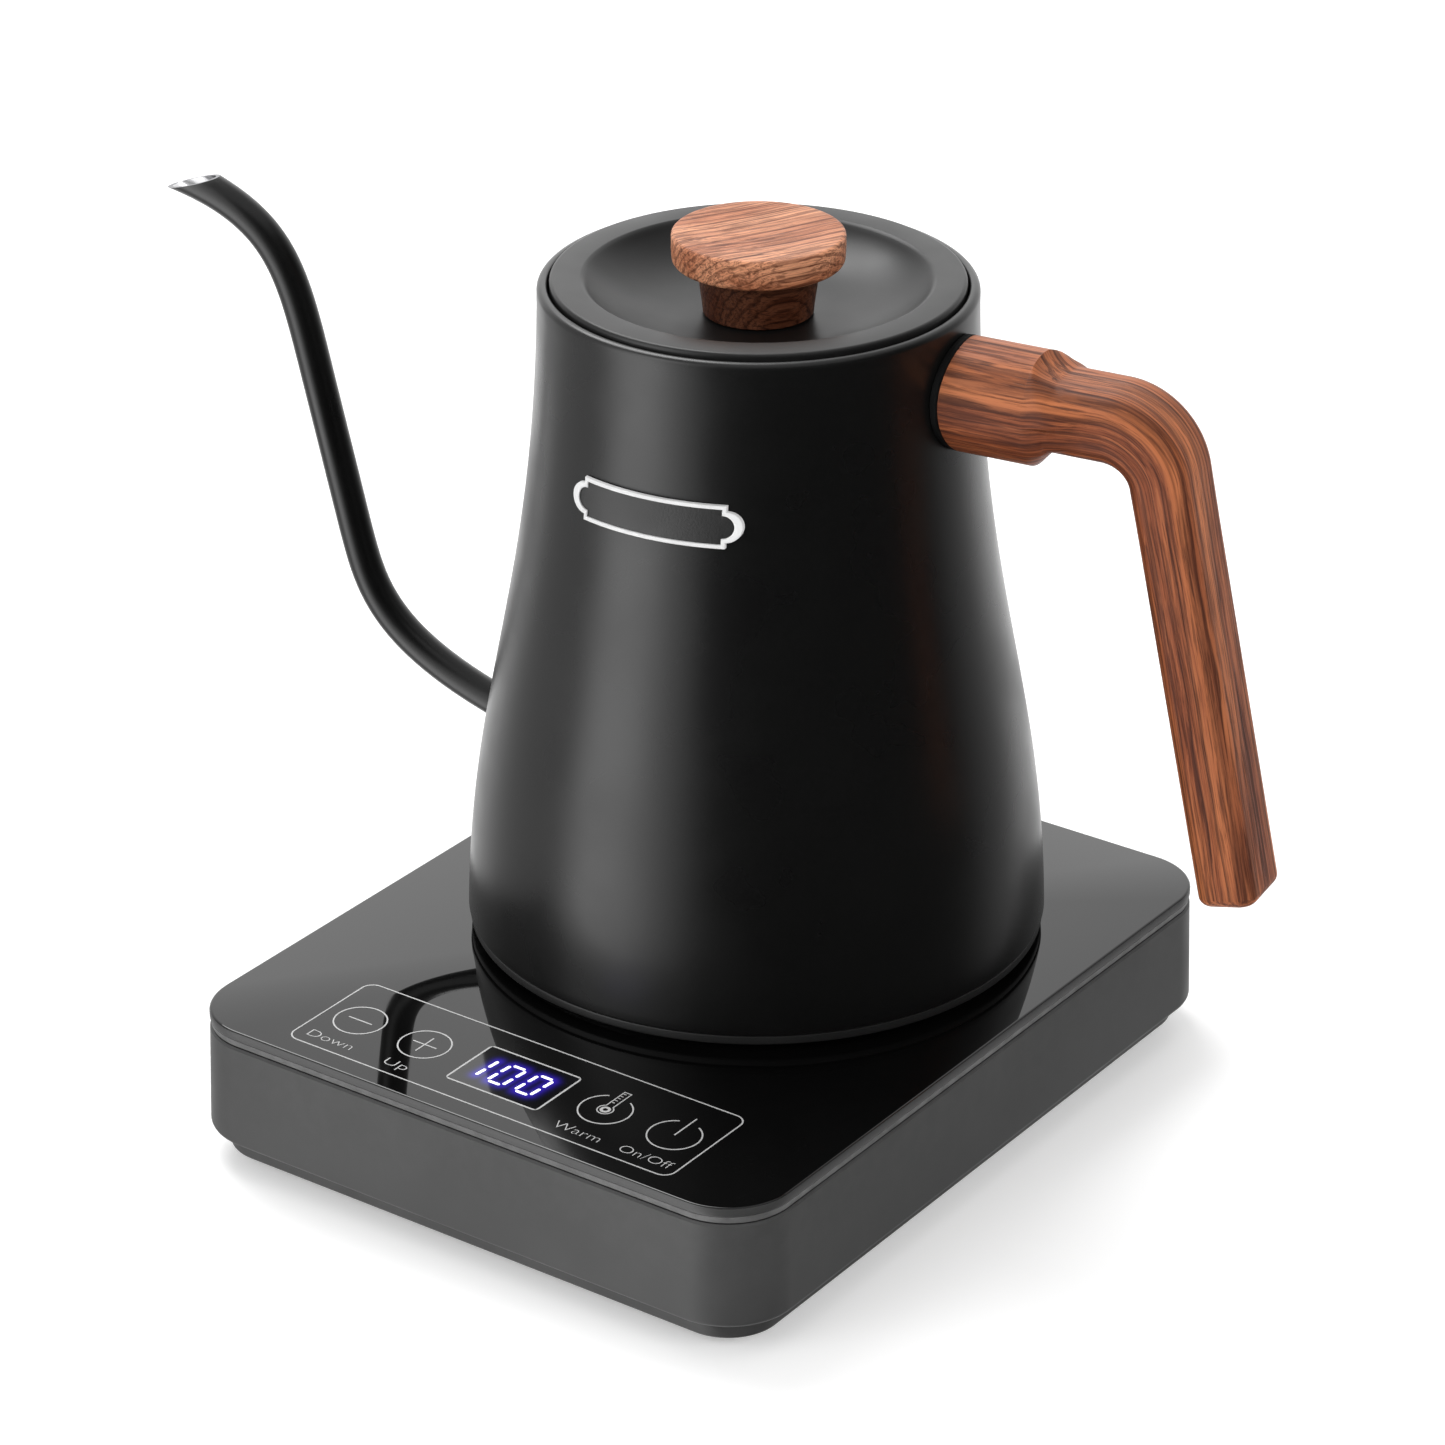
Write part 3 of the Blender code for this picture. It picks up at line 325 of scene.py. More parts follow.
def makeMetal(name):
    look = metals[name]
    material, tree, sockets, place = newMaterial(name, Metallic=1.0)
    lines = useGroup(tree, brushedLines, {"Place": place, "Line Width": look["line"]}).outputs["Lines"]
    drift = useGroup(tree, fineGrain, {"Place": place, "Drift Size": 0.012}).outputs["Drift"]
    dark = tuple(0.80 * c for c in look["colour"])
    colour = blendColours(tree, drift, (*dark, 1.0), (*look["colour"], 1.0))
    rough = remap(tree, lines, 0.3, 0.7, look["roughness"] * 0.75, look["roughness"] * 1.3)
    connect(tree, sockets, colour, rough, lines, 0.000004)
    return material


woods = {
    "handleWood": {"pale": (0.54, 0.175, 0.066), "middle": (0.25, 0.066, 0.025),
                   "dark": (0.045, 0.012, 0.007), "spacing": 0.0021, "wander": 0.0080, "stretch": 0.06,
                   "turn": (0.0, 0.0, 0.0), "shift": (0.30, 0.0285, -0.0170),
                   "attribute": "grainPlace", "shaded": None},
    "knobWood": {"pale": (0.80, 0.360, 0.195), "middle": (0.56, 0.205, 0.098),
                 "dark": (0.095, 0.026, 0.013), "spacing": 0.0019, "wander": 0.0060, "stretch": 0.10,
                 "turn": (0.0, 0.06, -0.93), "shift": (0.0, 0.0520, -0.130),
                 # the neck under the disc gets painted shade
                 "attribute": None, "shaded": "paintedShadeUnderDisc"},
}


def makeWood(name):
    look = woods[name]
    material, tree, sockets, place = newMaterial(name, Specular_IOR_Level=0.24)
    if look["attribute"]:
        place = addNode(tree, "Attribute", attribute_name=look["attribute"]).outputs["Vector"]
    moved = addNode(tree, "Mapping", {
        "Vector": place, "Location": look["shift"], "Rotation": look["turn"]}).outputs[0]
    figure = useGroup(tree, woodFigure, {
        "Place": moved, "Pale": (*look["pale"], 1.0), "Middle": (*look["middle"], 1.0),
        "Dark": (*look["dark"], 1.0), "Ring Spacing": look["spacing"], "Wander": look["wander"],
        "Stretch": look["stretch"]}).outputs
    worn = useGroup(tree, edgeWear, {"Place": place, "Sharpness": 0.53}).outputs["Mask"]
    colour = blendColours(tree, maths(tree, "MULTIPLY", worn, 0.25), figure["Color"], (*look["pale"], 1.0))
    if look["shaded"]:
        # painted shade: the neck under the disc is darkened as if the disc shades it
        under = addNode(tree, "Attribute", attribute_name=look["shaded"]).outputs["Fac"]
        paintedNeckShade = blendColours(tree, 1.0, colour, (0.20, 0.16, 0.15, 1.0), "MULTIPLY")
        colour = blendColours(tree, under, colour, paintedNeckShade)
    rough = remap(tree, figure["Fibre"], 0.3, 0.7, 0.40, 0.56)
    cut = maths(tree, "SUBTRACT", maths(tree, "MULTIPLY", figure["Fibre"], 0.4), figure["Pores"])
    connect(tree, sockets, colour, rough, cut, 0.00005)
    return material


def makeBlackGlass():
    material, tree, sockets, place = newMaterial("blackGlass", Specular_IOR_Level=0.5, Coat_Weight=0.0)
    grain = useGroup(tree, fineGrain, {"Place": place, "Grain Size": 0.002, "Drift Size": 0.02}).outputs
    colour = blendColours(tree, grain["Drift"], grey(0.0015), grey(0.0028))
    smear = remap(tree, grain["Drift"], 0.45, 0.75, 0.015, 0.045)    # faint wipe marks
    # the cut edge is ground, so it is greyer and duller than the face
    surface = addNode(tree, "NewGeometry")
    ground = remap(tree, split(tree, surface.outputs["Normal"])["Z"], 0.80, 0.45)
    colour = blendColours(tree, ground, colour, grey(0.048))
    smear = maths(tree, "ADD", smear, maths(tree, "MULTIPLY", ground, 0.42))
    connect(tree, sockets, colour, smear, grain["Drift"], 0.000002)
    return material


def makeBoardGreen():
    material, tree, sockets, place = newMaterial("boardGreen", Roughness=0.4)
    cells = addNode(tree, "TexVoronoi", {"Vector": place, "Scale": 220.0},
                    distance="MANHATTAN", feature="DISTANCE_TO_EDGE")
    tracks = remap(tree, cells.outputs["Distance"], 0.05, 0.09)
    drift = useGroup(tree, fineGrain, {"Place": place}).outputs["Drift"]
    mask = blendColours(tree, drift, (0.012, 0.10, 0.035, 1.0), (0.02, 0.15, 0.06, 1.0))
    colour = blendColours(tree, tracks, (0.05, 0.26, 0.11, 1.0), mask)
    connect(tree, sockets, colour, None, tracks, 0.00003)
    return material


def makeSilicone():
    material, tree, sockets, place = newMaterial(
        "siliconeSeal", Roughness=0.5, Subsurface_Weight=0.15, Subsurface_Scale=0.002)
    grain = useGroup(tree, fineGrain, {"Place": place, "Grain Size": 0.0006}).outputs
    colour = blendColours(tree, grain["Drift"], (0.50, 0.50, 0.48, 1.0), (0.62, 0.62, 0.60, 1.0))
    rough = remap(tree, grain["Grain"], 0.3, 0.7, 0.45, 0.6)
    connect(tree, sockets, colour, rough, grain["Grain"], 0.00001)
    return material


def makeDisplayGlass():
    # dark window lit from behind by the numerals; the mesh carries how near each point is to them
    material, tree, sockets, place = newMaterial("displayGlass", Roughness=0.06, Emission_Strength=1.0)
    near = addNode(tree, "Attribute", attribute_name="glow").outputs["Fac"]
    drift = useGroup(tree, fineGrain, {"Place": place, "Drift Size": 0.003}).outputs["Drift"]
    colour = blendColours(tree, drift, grey(0.001), (0.002, 0.002, 0.004, 1.0))
    halo = blendColours(tree, near, (0.0, 0.0, 0.0, 1.0), (0.028, 0.011, 0.40, 1.0))
    tree.links.new(colour, sockets["Base Color"])
    tree.links.new(halo, sockets["Emission Color"])
    return material


def makeDigitLight():
    material, tree, sockets, place = newMaterial("digitLight", Roughness=0.3, Emission_Strength=1.15)
    drift = useGroup(tree, fineGrain, {"Place": place, "Drift Size": 0.002}).outputs["Drift"]
    colour = blendColours(tree, drift, (0.86, 0.84, 1.0, 1.0), (1.0, 1.0, 1.0, 1.0))
    tree.links.new(colour, sockets["Emission Color"])
    tree.links.new(colour, sockets["Base Color"])
    return material


finishes = {name: makeCoated(name) for name in coated}
finishes.update({name: makeMetal(name) for name in metals})
finishes.update({name: makeWood(name) for name in woods})
finishes["blackGlass"] = makeBlackGlass()
finishes["boardGreen"] = makeBoardGreen()
finishes["siliconeSeal"] = makeSilicone()
finishes["displayGlass"] = makeDisplayGlass()
finishes["digitLight"] = makeDigitLight()
print("materials ready:", len(finishes))


# mesh building
def rounded(corners, steps=5):
    # closed outline through (a, b) or (a, b, fillet radius)
    points = []
    for index, corner in enumerate(corners):
        here = Vector(corner[:2])
        if len(corner) == 2:
            points.append(here)
            continue
        back = (Vector(corners[index - 1][:2]) - here).normalized()
        ahead = (Vector(corners[(index + 1) % len(corners)][:2]) - here).normalized()
        half = back.angle(ahead) / 2
        centre = here + (back + ahead).normalized() * (corner[2] / math.sin(half))
        first = here + back * (corner[2] / math.tan(half)) - centre
        last = here + ahead * (corner[2] / math.tan(half)) - centre
        begin = math.atan2(first.y, first.x)
        swing = (math.atan2(last.y, last.x) - begin + math.pi) % (2 * math.pi) - math.pi
        for step in range(steps + 1):
            angle = begin + swing * step / steps
            points.append(centre + Vector((math.cos(angle), math.sin(angle))) * corner[2])
    return points


def curveThrough(start, handleA, handleB, end, count):
    flat = [Vector((p[0], p[1], 0.0)) for p in (start, handleA, handleB, end)]
    return [Vector((p.x, p.y)) for p in interpolate_bezier(*flat, count)]


def addFace(bm, corners, ink=0):
    corners = list(dict.fromkeys(corners))
    if len(corners) > 2:
        face = bm.faces.new(corners)
        face.material_index = ink


def turned(points, steps=128, inks=None, bm=None, at=(0.0, 0.0)):
    # closed outline of (radius, height) taken round a vertical axis
    bm = bm or bmesh.new()
    rings = []
    for radius, height in points:
        if radius < 1e-7:
            rings.append([bm.verts.new((at[0], at[1], height))] * steps)
            continue
        angles = [2 * math.pi * j / steps for j in range(steps)]
        rings.append([bm.verts.new((at[0] + radius * math.cos(a), at[1] + radius * math.sin(a), height))
                      for a in angles])
    for k, ring in enumerate(rings):
        after = rings[(k + 1) % len(rings)]
        ink = inks[k] if inks else 0
        for j in range(steps):
            n = (j + 1) % steps
            addFace(bm, (ring[j], ring[n], after[n], after[j]), ink)
    return bm


def skinned(rows, wrap=False, inks=None, bm=None):
    # rows of matching points joined in turn; fans close the ends unless the last row meets the first
    bm = bm or bmesh.new()
    made = [[bm.verts.new(p) for p in row] for row in rows]
    count = len(made[0])
    pairs = list(zip(made, made[1:]))
    if wrap:
        pairs.append((made[-1], made[0]))
    else:
        for row in (made[0], made[-1]):
            middle = bm.verts.new(sum((v.co for v in row), Vector()) / count)
            for k in range(count):
                addFace(bm, (row[k], row[(k + 1) % count], middle))
    for index, (low, high) in enumerate(pairs):
        ink = inks[index] if inks else 0
        for k in range(count):
            n = (k + 1) % count
            addFace(bm, (low[k], low[n], high[n], high[k]), ink)
    return bm


def addPiece(name, bm, place, body, looks, stands=(), sharp=32.0):
    bmesh.ops.remove_doubles(bm, verts=bm.verts, dist=1e-7)
    bmesh.ops.recalc_face_normals(bm, faces=bm.faces)
    mesh = bpy.data.meshes.new(name)
    bm.to_mesh(mesh)
    bm.free()
    mesh.shade_smooth()
    mesh.set_sharp_from_angle(angle=math.radians(sharp))
    for look in looks:
        mesh.materials.append(finishes[look])
    piece = bpy.data.objects.new(name, mesh)
    bpy.context.scene.collection.objects.link(piece)
    piece.matrix_world = place
    if body:
        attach(piece, body)
    if stands:
        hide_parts(*stands)
    return piece


def cutWith(piece, bm, place):
    # take the tool's shape out of the piece for good
    tool = addPiece("tool", bm, place, None, [])
    change = piece.modifiers.new("cut", "BOOLEAN")
    change.operation = "DIFFERENCE"
    change.solver = "EXACT"
    change.object = tool
    bpy.context.view_layer.update()
    graph = bpy.context.evaluated_depsgraph_get()
    mesh = bpy.data.meshes.new_from_object(piece.evaluated_get(graph))
    mesh.name = piece.name
    piece.modifiers.clear()
    piece.data = mesh
    mesh.set_sharp_from_angle(angle=math.radians(32.0))
    bpy.data.objects.remove(tool)


def rodShape(radius, low, high, steps=48, at=(0.0, 0.0)):
    return turned([(0.0, low), (radius, low), (radius, high), (0.0, high)], steps, at=at)


def slantedRod(radius, start, end, steps=48):
    start, end = Vector(start), Vector(end)
    way = Vector((0, 0, 1)).rotation_difference(end - start).to_matrix().to_4x4()
    place = Matrix.Translation(start) @ way
    bm = rodShape(radius, 0.0, (end - start).length, steps)
    bm.transform(place)
    return bm


def roundedPlan(halfX, halfY, radius, z, steps=20):
    corners = [(sx * halfX, sy * halfY, radius) for sx, sy in ((1, 1), (-1, 1), (-1, -1), (1, -1))]
    return [Vector((p.x, p.y, z)) for p in rounded(corners, steps)]


def holeRow(loop, middle, radius, z):
    # a circle with one point for each point of the loop, in the same direction
    row = []
    for p in loop:
        way = (Vector((p.x, p.y)) - Vector(middle)).normalized() * radius
        row.append(Vector((middle[0] + way.x, middle[1] + way.y, z)))
    return row


# power base
baseShape = {
    "corner": 0.0165,
    "glassEdge": 0.0007,       # bevel along the top of the glass
    "bezelSlope": 0.0004,      # how far the bezel runs in below the glass
    "wallTopEdge": 0.0005,
    "wallFootRound": 0.0014,
    "wallThick": 0.0022,
    "footEdge": 0.0008,
    "coverThick": 0.0024,
    "plinthRise": 0.0012,      # how far the cover's rim stands up inside the wall
    "plinthThick": 0.0018,
    "postBore": 0.0017,
    "postRadius": 0.0035,
    "postFoot": 0.0053,
    "glandHole": 0.0062,
    "screwPocket": 0.0032,
    "holeLimit": 0.0165,
}
baseHalfX = (glassHigh.x - glassLow.x) / 2
baseHalfY = (glassHigh.y - glassLow.y) / 2
socketMiddle = (axis.x - baseMiddle.x, axis.y - baseMiddle.y)
baseCorners = ("front_left", "front_right", "rear_left", "rear_right")


def baseLoop(grow, z):
    return roundedPlan(baseHalfX + grow, baseHalfY + grow, baseShape["corner"] + grow, z)


def makeBase():
    socketReach = reachOf("socket_body", Matrix.Translation((axis.x, axis.y, 0.0)))
    holeRadius = min(socketReach, baseShape["holeLimit"])
    edge = baseShape["glassEdge"]
    low, high = glassLow.z, glassTop
    levels = [(-0.0004, low), (-0.0001, low + 0.0001), (0.0, low + 0.0004)]
    levels += [(edge * (math.cos(t) - 1), high - edge * (1 - math.sin(t)))
               for t in np.linspace(0, math.pi / 2, 6)]
    rows = [baseLoop(grow, z) for grow, z in levels]
    first = holeRow(rows[0], socketMiddle, holeRadius, low)
    rows = [first] + rows + [holeRow(rows[-1], socketMiddle, holeRadius, high)]
    addPiece("glassTop", skinned(rows, wrap=True), basePlace, "power_base", ["blackGlass"],
             ["glass_top"])

    bezelLow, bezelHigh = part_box("housing_shell")[1].z + 0.0003, low - 0.00003
    slope = baseShape["bezelSlope"]
    levels = [(-0.0040, bezelLow - 0.0014), (-0.0034, bezelLow - 0.0014), (-0.0034, bezelLow),
              (-slope - 0.0002, bezelLow), (-slope, bezelLow + 0.0002), (-0.0001, bezelHigh - 0.0001),
              (-0.0002, bezelHigh)]
    rows = [baseLoop(grow, z) for grow, z in levels]
    first = holeRow(rows[0], socketMiddle, holeRadius, bezelLow - 0.0014)
    last = holeRow(rows[-1], socketMiddle, holeRadius, bezelHigh)
    bm = skinned([first] + rows + [last], wrap=True)
    bore, post, foot = baseShape["postBore"], baseShape["postRadius"], baseShape["postFoot"]
    for name in baseCorners:
        spot = middleOf("cover_screw_" + name) - baseMiddle
        profile = [(bore, foot), (post, foot), (post, bezelLow - 0.001), (bore, bezelLow - 0.001)]
        turned(profile, 32, bm=bm, at=(spot.x, spot.y))
    addPiece("glassBezel", bm, basePlace, "power_base", ["bezelPlastic"], ["glass_carrier"])

    (wallLowX, _, wallLow), (wallHighX, _, wallHigh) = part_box("housing_shell")
    flare = (wallHighX - wallLowX) / 2 - baseHalfX
    wallRound, tip = baseShape["wallFootRound"], baseShape["wallTopEdge"]
    thick = baseShape["wallThick"]
    levels = [(-tip, wallHigh), (0.0, wallHigh - tip), (flare, wallLow + wallRound)]
    levels += [(flare - wallRound * (1 - math.cos(t)), wallLow + wallRound * (1 - math.sin(t)))
               for t in np.linspace(0, math.pi / 2, 6)[1:]]
    levels += [(flare - thick, wallLow), (flare - thick, wallLow + 0.002), (-thick, wallHigh)]
    housing = addPiece("housingShell", skinned([baseLoop(g, z) for g, z in levels], wrap=True), basePlace,
                       "power_base", ["housingPlastic"], ["housing_shell"])
    gland = middleOf("cord_gland") - baseMiddle
    glandZ = middleOf("cord_gland").z
    tool = slantedRod(baseShape["glandHole"], (gland.x, baseHalfY - 0.008, glandZ),
                      (gland.x, baseHalfY + 0.008, glandZ))
    cutWith(housing, tool, basePlace)

    (coverLowX, _, coverLow), (coverHighX, _, _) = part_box("bottom_cover")
    inset = (coverHighX - coverLowX) / 2 - baseHalfX
    edge, rim = baseShape["footEdge"], wallLow + baseShape["plinthRise"]
    inside = inset - baseShape["plinthThick"]
    levels = [(inset - edge * (1 - math.cos(t)), coverLow + edge * (1 - math.sin(t)))
              for t in np.linspace(math.pi / 2, 0, 5)]
    levels += [(inset, rim), (inside, rim), (inside, coverLow + baseShape["coverThick"])]
    bm = skinned([baseLoop(g, z) for g, z in levels])
    cover = addPiece("bottomCover", bm, basePlace, "power_base", ["housingPlastic"],
                     ["bottom_cover"])
    for name in baseCorners:
        spot = middleOf("cover_screw_" + name) - baseMiddle
        pocket = rodShape(baseShape["screwPocket"], 0.0, coverLow + 0.0013, at=(spot.x, spot.y))
        cutWith(cover, pocket, basePlace)
    print("power base made")


# control strip: thin printed lines on the glass, numerals and their window
stripShape = {
    "lift": 0.00002, "thick": 0.00004, "line": 0.00036,
    "frame": (-0.0533, 0.0553, -0.0935, -0.0628, 0.0030),      # left, right, front, rear, corner
    "window": (-0.0117, 0.0141, -0.0872, -0.0698, 0.0012),
    "windowLine": 0.00048,
    "ring": 0.00626,
    "minus": (-0.0438, -0.0782), "plus": (-0.0247, -0.0783),
    "warm": (0.0266, -0.0778), "power": (0.0458, -0.0778),
    "labels": {"Down": (-0.0437, 0.0126), "Up": (-0.0244, 0.0064), "Warm": (0.0274, 0.0126),
               "On/Off": (0.0460, 0.0142)},      # middle, width
    "labelFront": -0.0905, "labelSize": 0.0043, "labelThin": -0.00009,
    "signHalf": 0.0034, "powerStem": 0.0086,
    "bulb": 0.0019, "tubeHalf": 0.00095, "tubeTop": 0.0087, "bulbDot": 0.0007,      # thermometer
    "markCount": 5, "markStart": 0.0035, "markStep": 0.0011,
}
digitShape = {
    "text": "100", "height": 0.0086, "width": 0.0043, "pitch": 0.0078, "stroke": 0.00080, "lean": 0.085,
    "middle": (-0.0007, -0.0786), "glowReach": 0.0015,
}
segmentsOf = {"0": "abcdef", "1": "bc"}


def ribbon(bm, points, width, low, high, closed=False):
    # flat line of even width through the points
    count = len(points)
    rows = []
    for k, p in enumerate(points):
        before = points[(k - 1) % count] if closed or k else p
        after = points[(k + 1) % count] if closed or k < count - 1 else p
        ways = [w.normalized() for w in (p - before, after - p) if w.length > 1e-9]
        ahead = sum(ways, Vector((0.0, 0.0))).normalized()
        side = Vector((-ahead.y, ahead.x)) * (width / 2 / max(0.5, ahead.dot(ways[0])))
        rows.append([(*(p + side), low), (*(p - side), low), (*(p - side), high), (*(p + side), high)])
    skinned(rows, wrap=closed, bm=bm)


def arcPoints(middle, radius, begin, end, count):
    angles = [math.radians(begin + (end - begin) * k / count) for k in range(count + 1)]
    return [Vector((middle[0] + radius * math.cos(a), middle[1] + radius * math.sin(a))) for a in angles]


def framePoints(limits):
    left, right, front, rear, corner = limits
    ends = ((right, rear), (left, rear), (left, front), (right, front))
    return rounded([(x, y, corner) for x, y in ends], 8)


def addLabel(bm, words, x, width, low, high):
    text = bpy.data.curves.new("label", "FONT")
    text.body = words
    text.size = stripShape["labelSize"]
    text.align_x = "CENTER"
    text.extrude = (high - low) / 2
    text.offset = stripShape["labelThin"]
    carrier = bpy.data.objects.new("label", text)
    bpy.context.scene.collection.objects.link(carrier)
    bpy.context.view_layer.update()
    mesh = bpy.data.meshes.new_from_object(carrier.evaluated_get(bpy.context.evaluated_depsgraph_get()))
    spread = max(v.co.x for v in mesh.vertices) - min(v.co.x for v in mesh.vertices)
    mesh.transform(Matrix.Translation((x, stripShape["labelFront"], (low + high) / 2)) @ Matrix.Diagonal(
        (width / spread, 1.0, 1.0, 1.0)))
    bm.from_mesh(mesh)
    bpy.data.objects.remove(carrier)


def digitBars():
    # the lit bars of the numerals, each a start and an end
    half, side = digitShape["height"] / 2, digitShape["width"] / 2
    gap = digitShape["stroke"] * 0.62
    bars = {"a": ((-side, half), (side, half)), "b": ((side, half), (side, 0)),
            "c": ((side, 0), (side, -half)), "d": ((-side, -half), (side, -half)),
            "e": ((-side, 0), (-side, -half)), "f": ((-side, half), (-side, 0))}
    found = []
    text = digitShape["text"]
    for k, letter in enumerate(text):
        shift = (k - (len(text) - 1) / 2) * digitShape["pitch"]
        for bar in segmentsOf[letter]:
            start, end = (Vector(p) for p in bars[bar])
            trim = (end - start).normalized() * gap
            pair = []
            for p in (start + trim, end - trim):
                x = digitShape["middle"][0] + shift + p.x + digitShape["lean"] * p.y
                pair.append(Vector((x, digitShape["middle"][1] + p.y)))
            found.append(pair)
    return found


def makeStrip():
    low = glassTop + stripShape["lift"]
    high = low + stripShape["thick"]
    line, ring = stripShape["line"], stripShape["ring"]
    half, tubeHalf, tubeTop = stripShape["signHalf"], stripShape["tubeHalf"], stripShape["tubeTop"]
    bm = bmesh.new()

    def draw(points, width=line, closed=False):
        ribbon(bm, [Vector(p) for p in points], width, low, high, closed)

    draw(framePoints(stripShape["frame"]), closed=True)
    for key in ("minus", "plus"):
        x, y = stripShape[key]
        draw(arcPoints((x, y), ring, 0, 360, 64)[:-1], closed=True)
        draw([(x - half, y), (x + half, y)])
    x, y = stripShape["plus"]
    for way in (-1, 1):
        draw([(x, y + way * half), (x, y + way * line * 0.6)])
    x, y = stripShape["power"]
    draw(arcPoints((x, y), ring, 115, 425, 60))
    draw([(x, y + stripShape["powerStem"]), (x, y)])
    x, y = stripShape["warm"]
    draw(arcPoints((x, y), ring, 118, 422, 60))
    draw(arcPoints((x, y), tubeHalf, 0, 360, 24)[:-1], stripShape["bulbDot"], True)
    bulb = arcPoints((x, y), stripShape["bulb"], 120, 420, 30)
    draw(bulb + [(x + tubeHalf, y + tubeTop), (x - tubeHalf, y + tubeTop)], line * 0.8, True)
    for k in range(stripShape["markCount"]):
        step = y + stripShape["markStart"] + stripShape["markStep"] * k
        draw([(x - 0.00065, step), (x + 0.00005, step)], line * 0.7)
    for words, (x, width) in stripShape["labels"].items():
        addLabel(bm, words, x, width, low, high)
    addPiece("controlPrint", bm, basePlace, "power_base", ["printInk"])

    bm = bmesh.new()
    ribbon(bm, framePoints(stripShape["window"]), stripShape["windowLine"], low, high, True)
    addPiece("displayFrame", bm, basePlace, "power_base", ["printInk"])

    bm = bmesh.new()
    bars = digitBars()
    for start, end in bars:
        ahead = (end - start).normalized() * digitShape["stroke"] * 0.35
        side = Vector((-ahead.y, ahead.x)).normalized() * digitShape["stroke"] / 2
        shape = [start - side * 0.15, start + ahead - side, end - ahead - side, end - side * 0.15,
                 end + side * 0.15, end - ahead + side, start + ahead + side, start + side * 0.15]
        skinned([[(*p, z) for p in shape] for z in (high + 0.00002, high + 0.00005)], bm=bm)
    addPiece("displayNumerals", bm, basePlace, "power_base", ["digitLight"])

    left, right, front, rear, _ = stripShape["window"]
    rim = stripShape["windowLine"] / 2 + 0.00004
    xs = np.linspace(left + rim, right - rim, 96)
    ys = np.linspace(front + rim, rear - rim, 64)
    bm = bmesh.new()
    top = [[bm.verts.new((x, y, high)) for x in xs] for y in ys]
    for j in range(len(ys) - 1):
        for k in range(len(xs) - 1):
            addFace(bm, (top[j][k], top[j][k + 1], top[j + 1][k + 1], top[j + 1][k]))
    border = [top[0][k] for k in range(len(xs))] + [row[-1] for row in top[1:]]
    border += [top[-1][k] for k in range(len(xs) - 2, -1, -1)]
    border += [top[j][0] for j in range(len(ys) - 2, 0, -1)]
    under = [bm.verts.new((v.co.x, v.co.y, low)) for v in border]
    for k in range(len(border)):
        n = (k + 1) % len(border)
        addFace(bm, (border[k], border[n], under[n], under[k]))
    bm.faces.new(under)
    window = addPiece("displayWindow", bm, basePlace, "power_base", ["displayGlass"],
                      ["display_module"])
    glow = window.data.attributes.new("glow", "FLOAT", "POINT")
    for v in window.data.vertices:
        p = Vector((v.co.x, v.co.y))
        away = min((p - nearestOn(p, start, end)).length for start, end in bars)
        glow.data[v.index].value = math.exp(-(away / digitShape["glowReach"]) ** 2)
    print("control strip made")


def nearestOn(p, start, end):
    way = end - start
    share = max(0.0, min(1.0, (p - start).dot(way) / way.length_squared))
    return start + way * share


# kettle body
bodyShape = {
    "lowHandle": (0.0676, 0.0619), "highHandle": (0.0521, 0.0854), "neckHeight": 0.1580,
    "thick": 0.0011, "rimInner": 0.0480, "ledge": 0.1581, "throat": 0.0463, "rimRound": 0.0016,
}
shellFoot, rimTop = heightsOf("body_shell")
footRadius = reachOf("body_shell")
shellTop = pointsIn("body_shell", kettlePlace)
neckRadius = float(np.hypot(*shellTop[shellTop[:, 2] > rimTop - 0.004][:, :2].T).max())
shellLine = curveThrough((footRadius, shellFoot), bodyShape["lowHandle"], bodyShape["highHandle"],
                         (neckRadius, bodyShape["neckHeight"]), 72)


def shellRadius(z):
    return float(np.interp(z, [p.y for p in shellLine], [p.x for p in shellLine]))


spoutShape = {
    "radius": 0.0040, "wall": 0.0007, "flare": 1.12, "flareLength": 0.022,
    "root": [(-0.0620, 0.0375), (-0.1035, 0.0494), (-0.1058, 0.0640), (-0.1097, 0.0788)],
    "top": [(-0.1177, 0.1118), (-0.1256, 0.1440), (-0.1262, 0.1555), (-0.1605, 0.1630)],
    "mouth": [(-0.1589, 0.1582), (-0.1433, 0.1632)],      # the cut across the end
}


def makeBody():
    thick = bodyShape["thick"]
    inner = [Vector((p.x - thick, p.y)) for p in shellLine]
    crest = rounded([
        (bodyShape["throat"], bodyShape["ledge"] - 0.003), (bodyShape["throat"], bodyShape["ledge"], 0.0004),
        (bodyShape["rimInner"], bodyShape["ledge"], 0.0004), (bodyShape["rimInner"], rimTop, 0.0007),
        (neckRadius, rimTop, bodyShape["rimRound"]), (neckRadius, bodyShape["ledge"] - 0.003),
    ], 7)
    outer = shellLine[::-1]
    foot = rounded([tuple(outer[-2]), (*outer[-1], 0.0004), (*inner[0], 0.0004), tuple(inner[1])], 3)
    points = crest[:-1] + outer[:-2] + foot + inner[2:-1]
    coatCount = len(crest) - 1 + len(outer) - 2 + 5
    inks = [0] * coatCount + [1] * (len(points) - coatCount)
    inks[0] = 1
    body = addPiece("kettleBody", turned(points, 192, inks), kettlePlace, "kettle",
                    ["blackCoat", "steelBrushed"], ["body_shell"])
    first, second = (Vector((p[0], 0.0, p[1])) for p in spoutShape["root"][:2])
    way = (second - first).normalized()
    opening = slantedRod(spoutShape["radius"] + 0.0001, first - way * 0.004, first + way * 0.012)
    cutWith(body, opening, kettlePlace)
    print("body made")


def distancesAlong(path):
    lengths = [0.0]
    for before, after in zip(path, path[1:]):
        lengths.append(lengths[-1] + (after - before).length)
    return lengths


def aheadAt(path, k):
    return (path[min(k + 1, len(path) - 1)] - path[max(k - 1, 0)]).normalized()


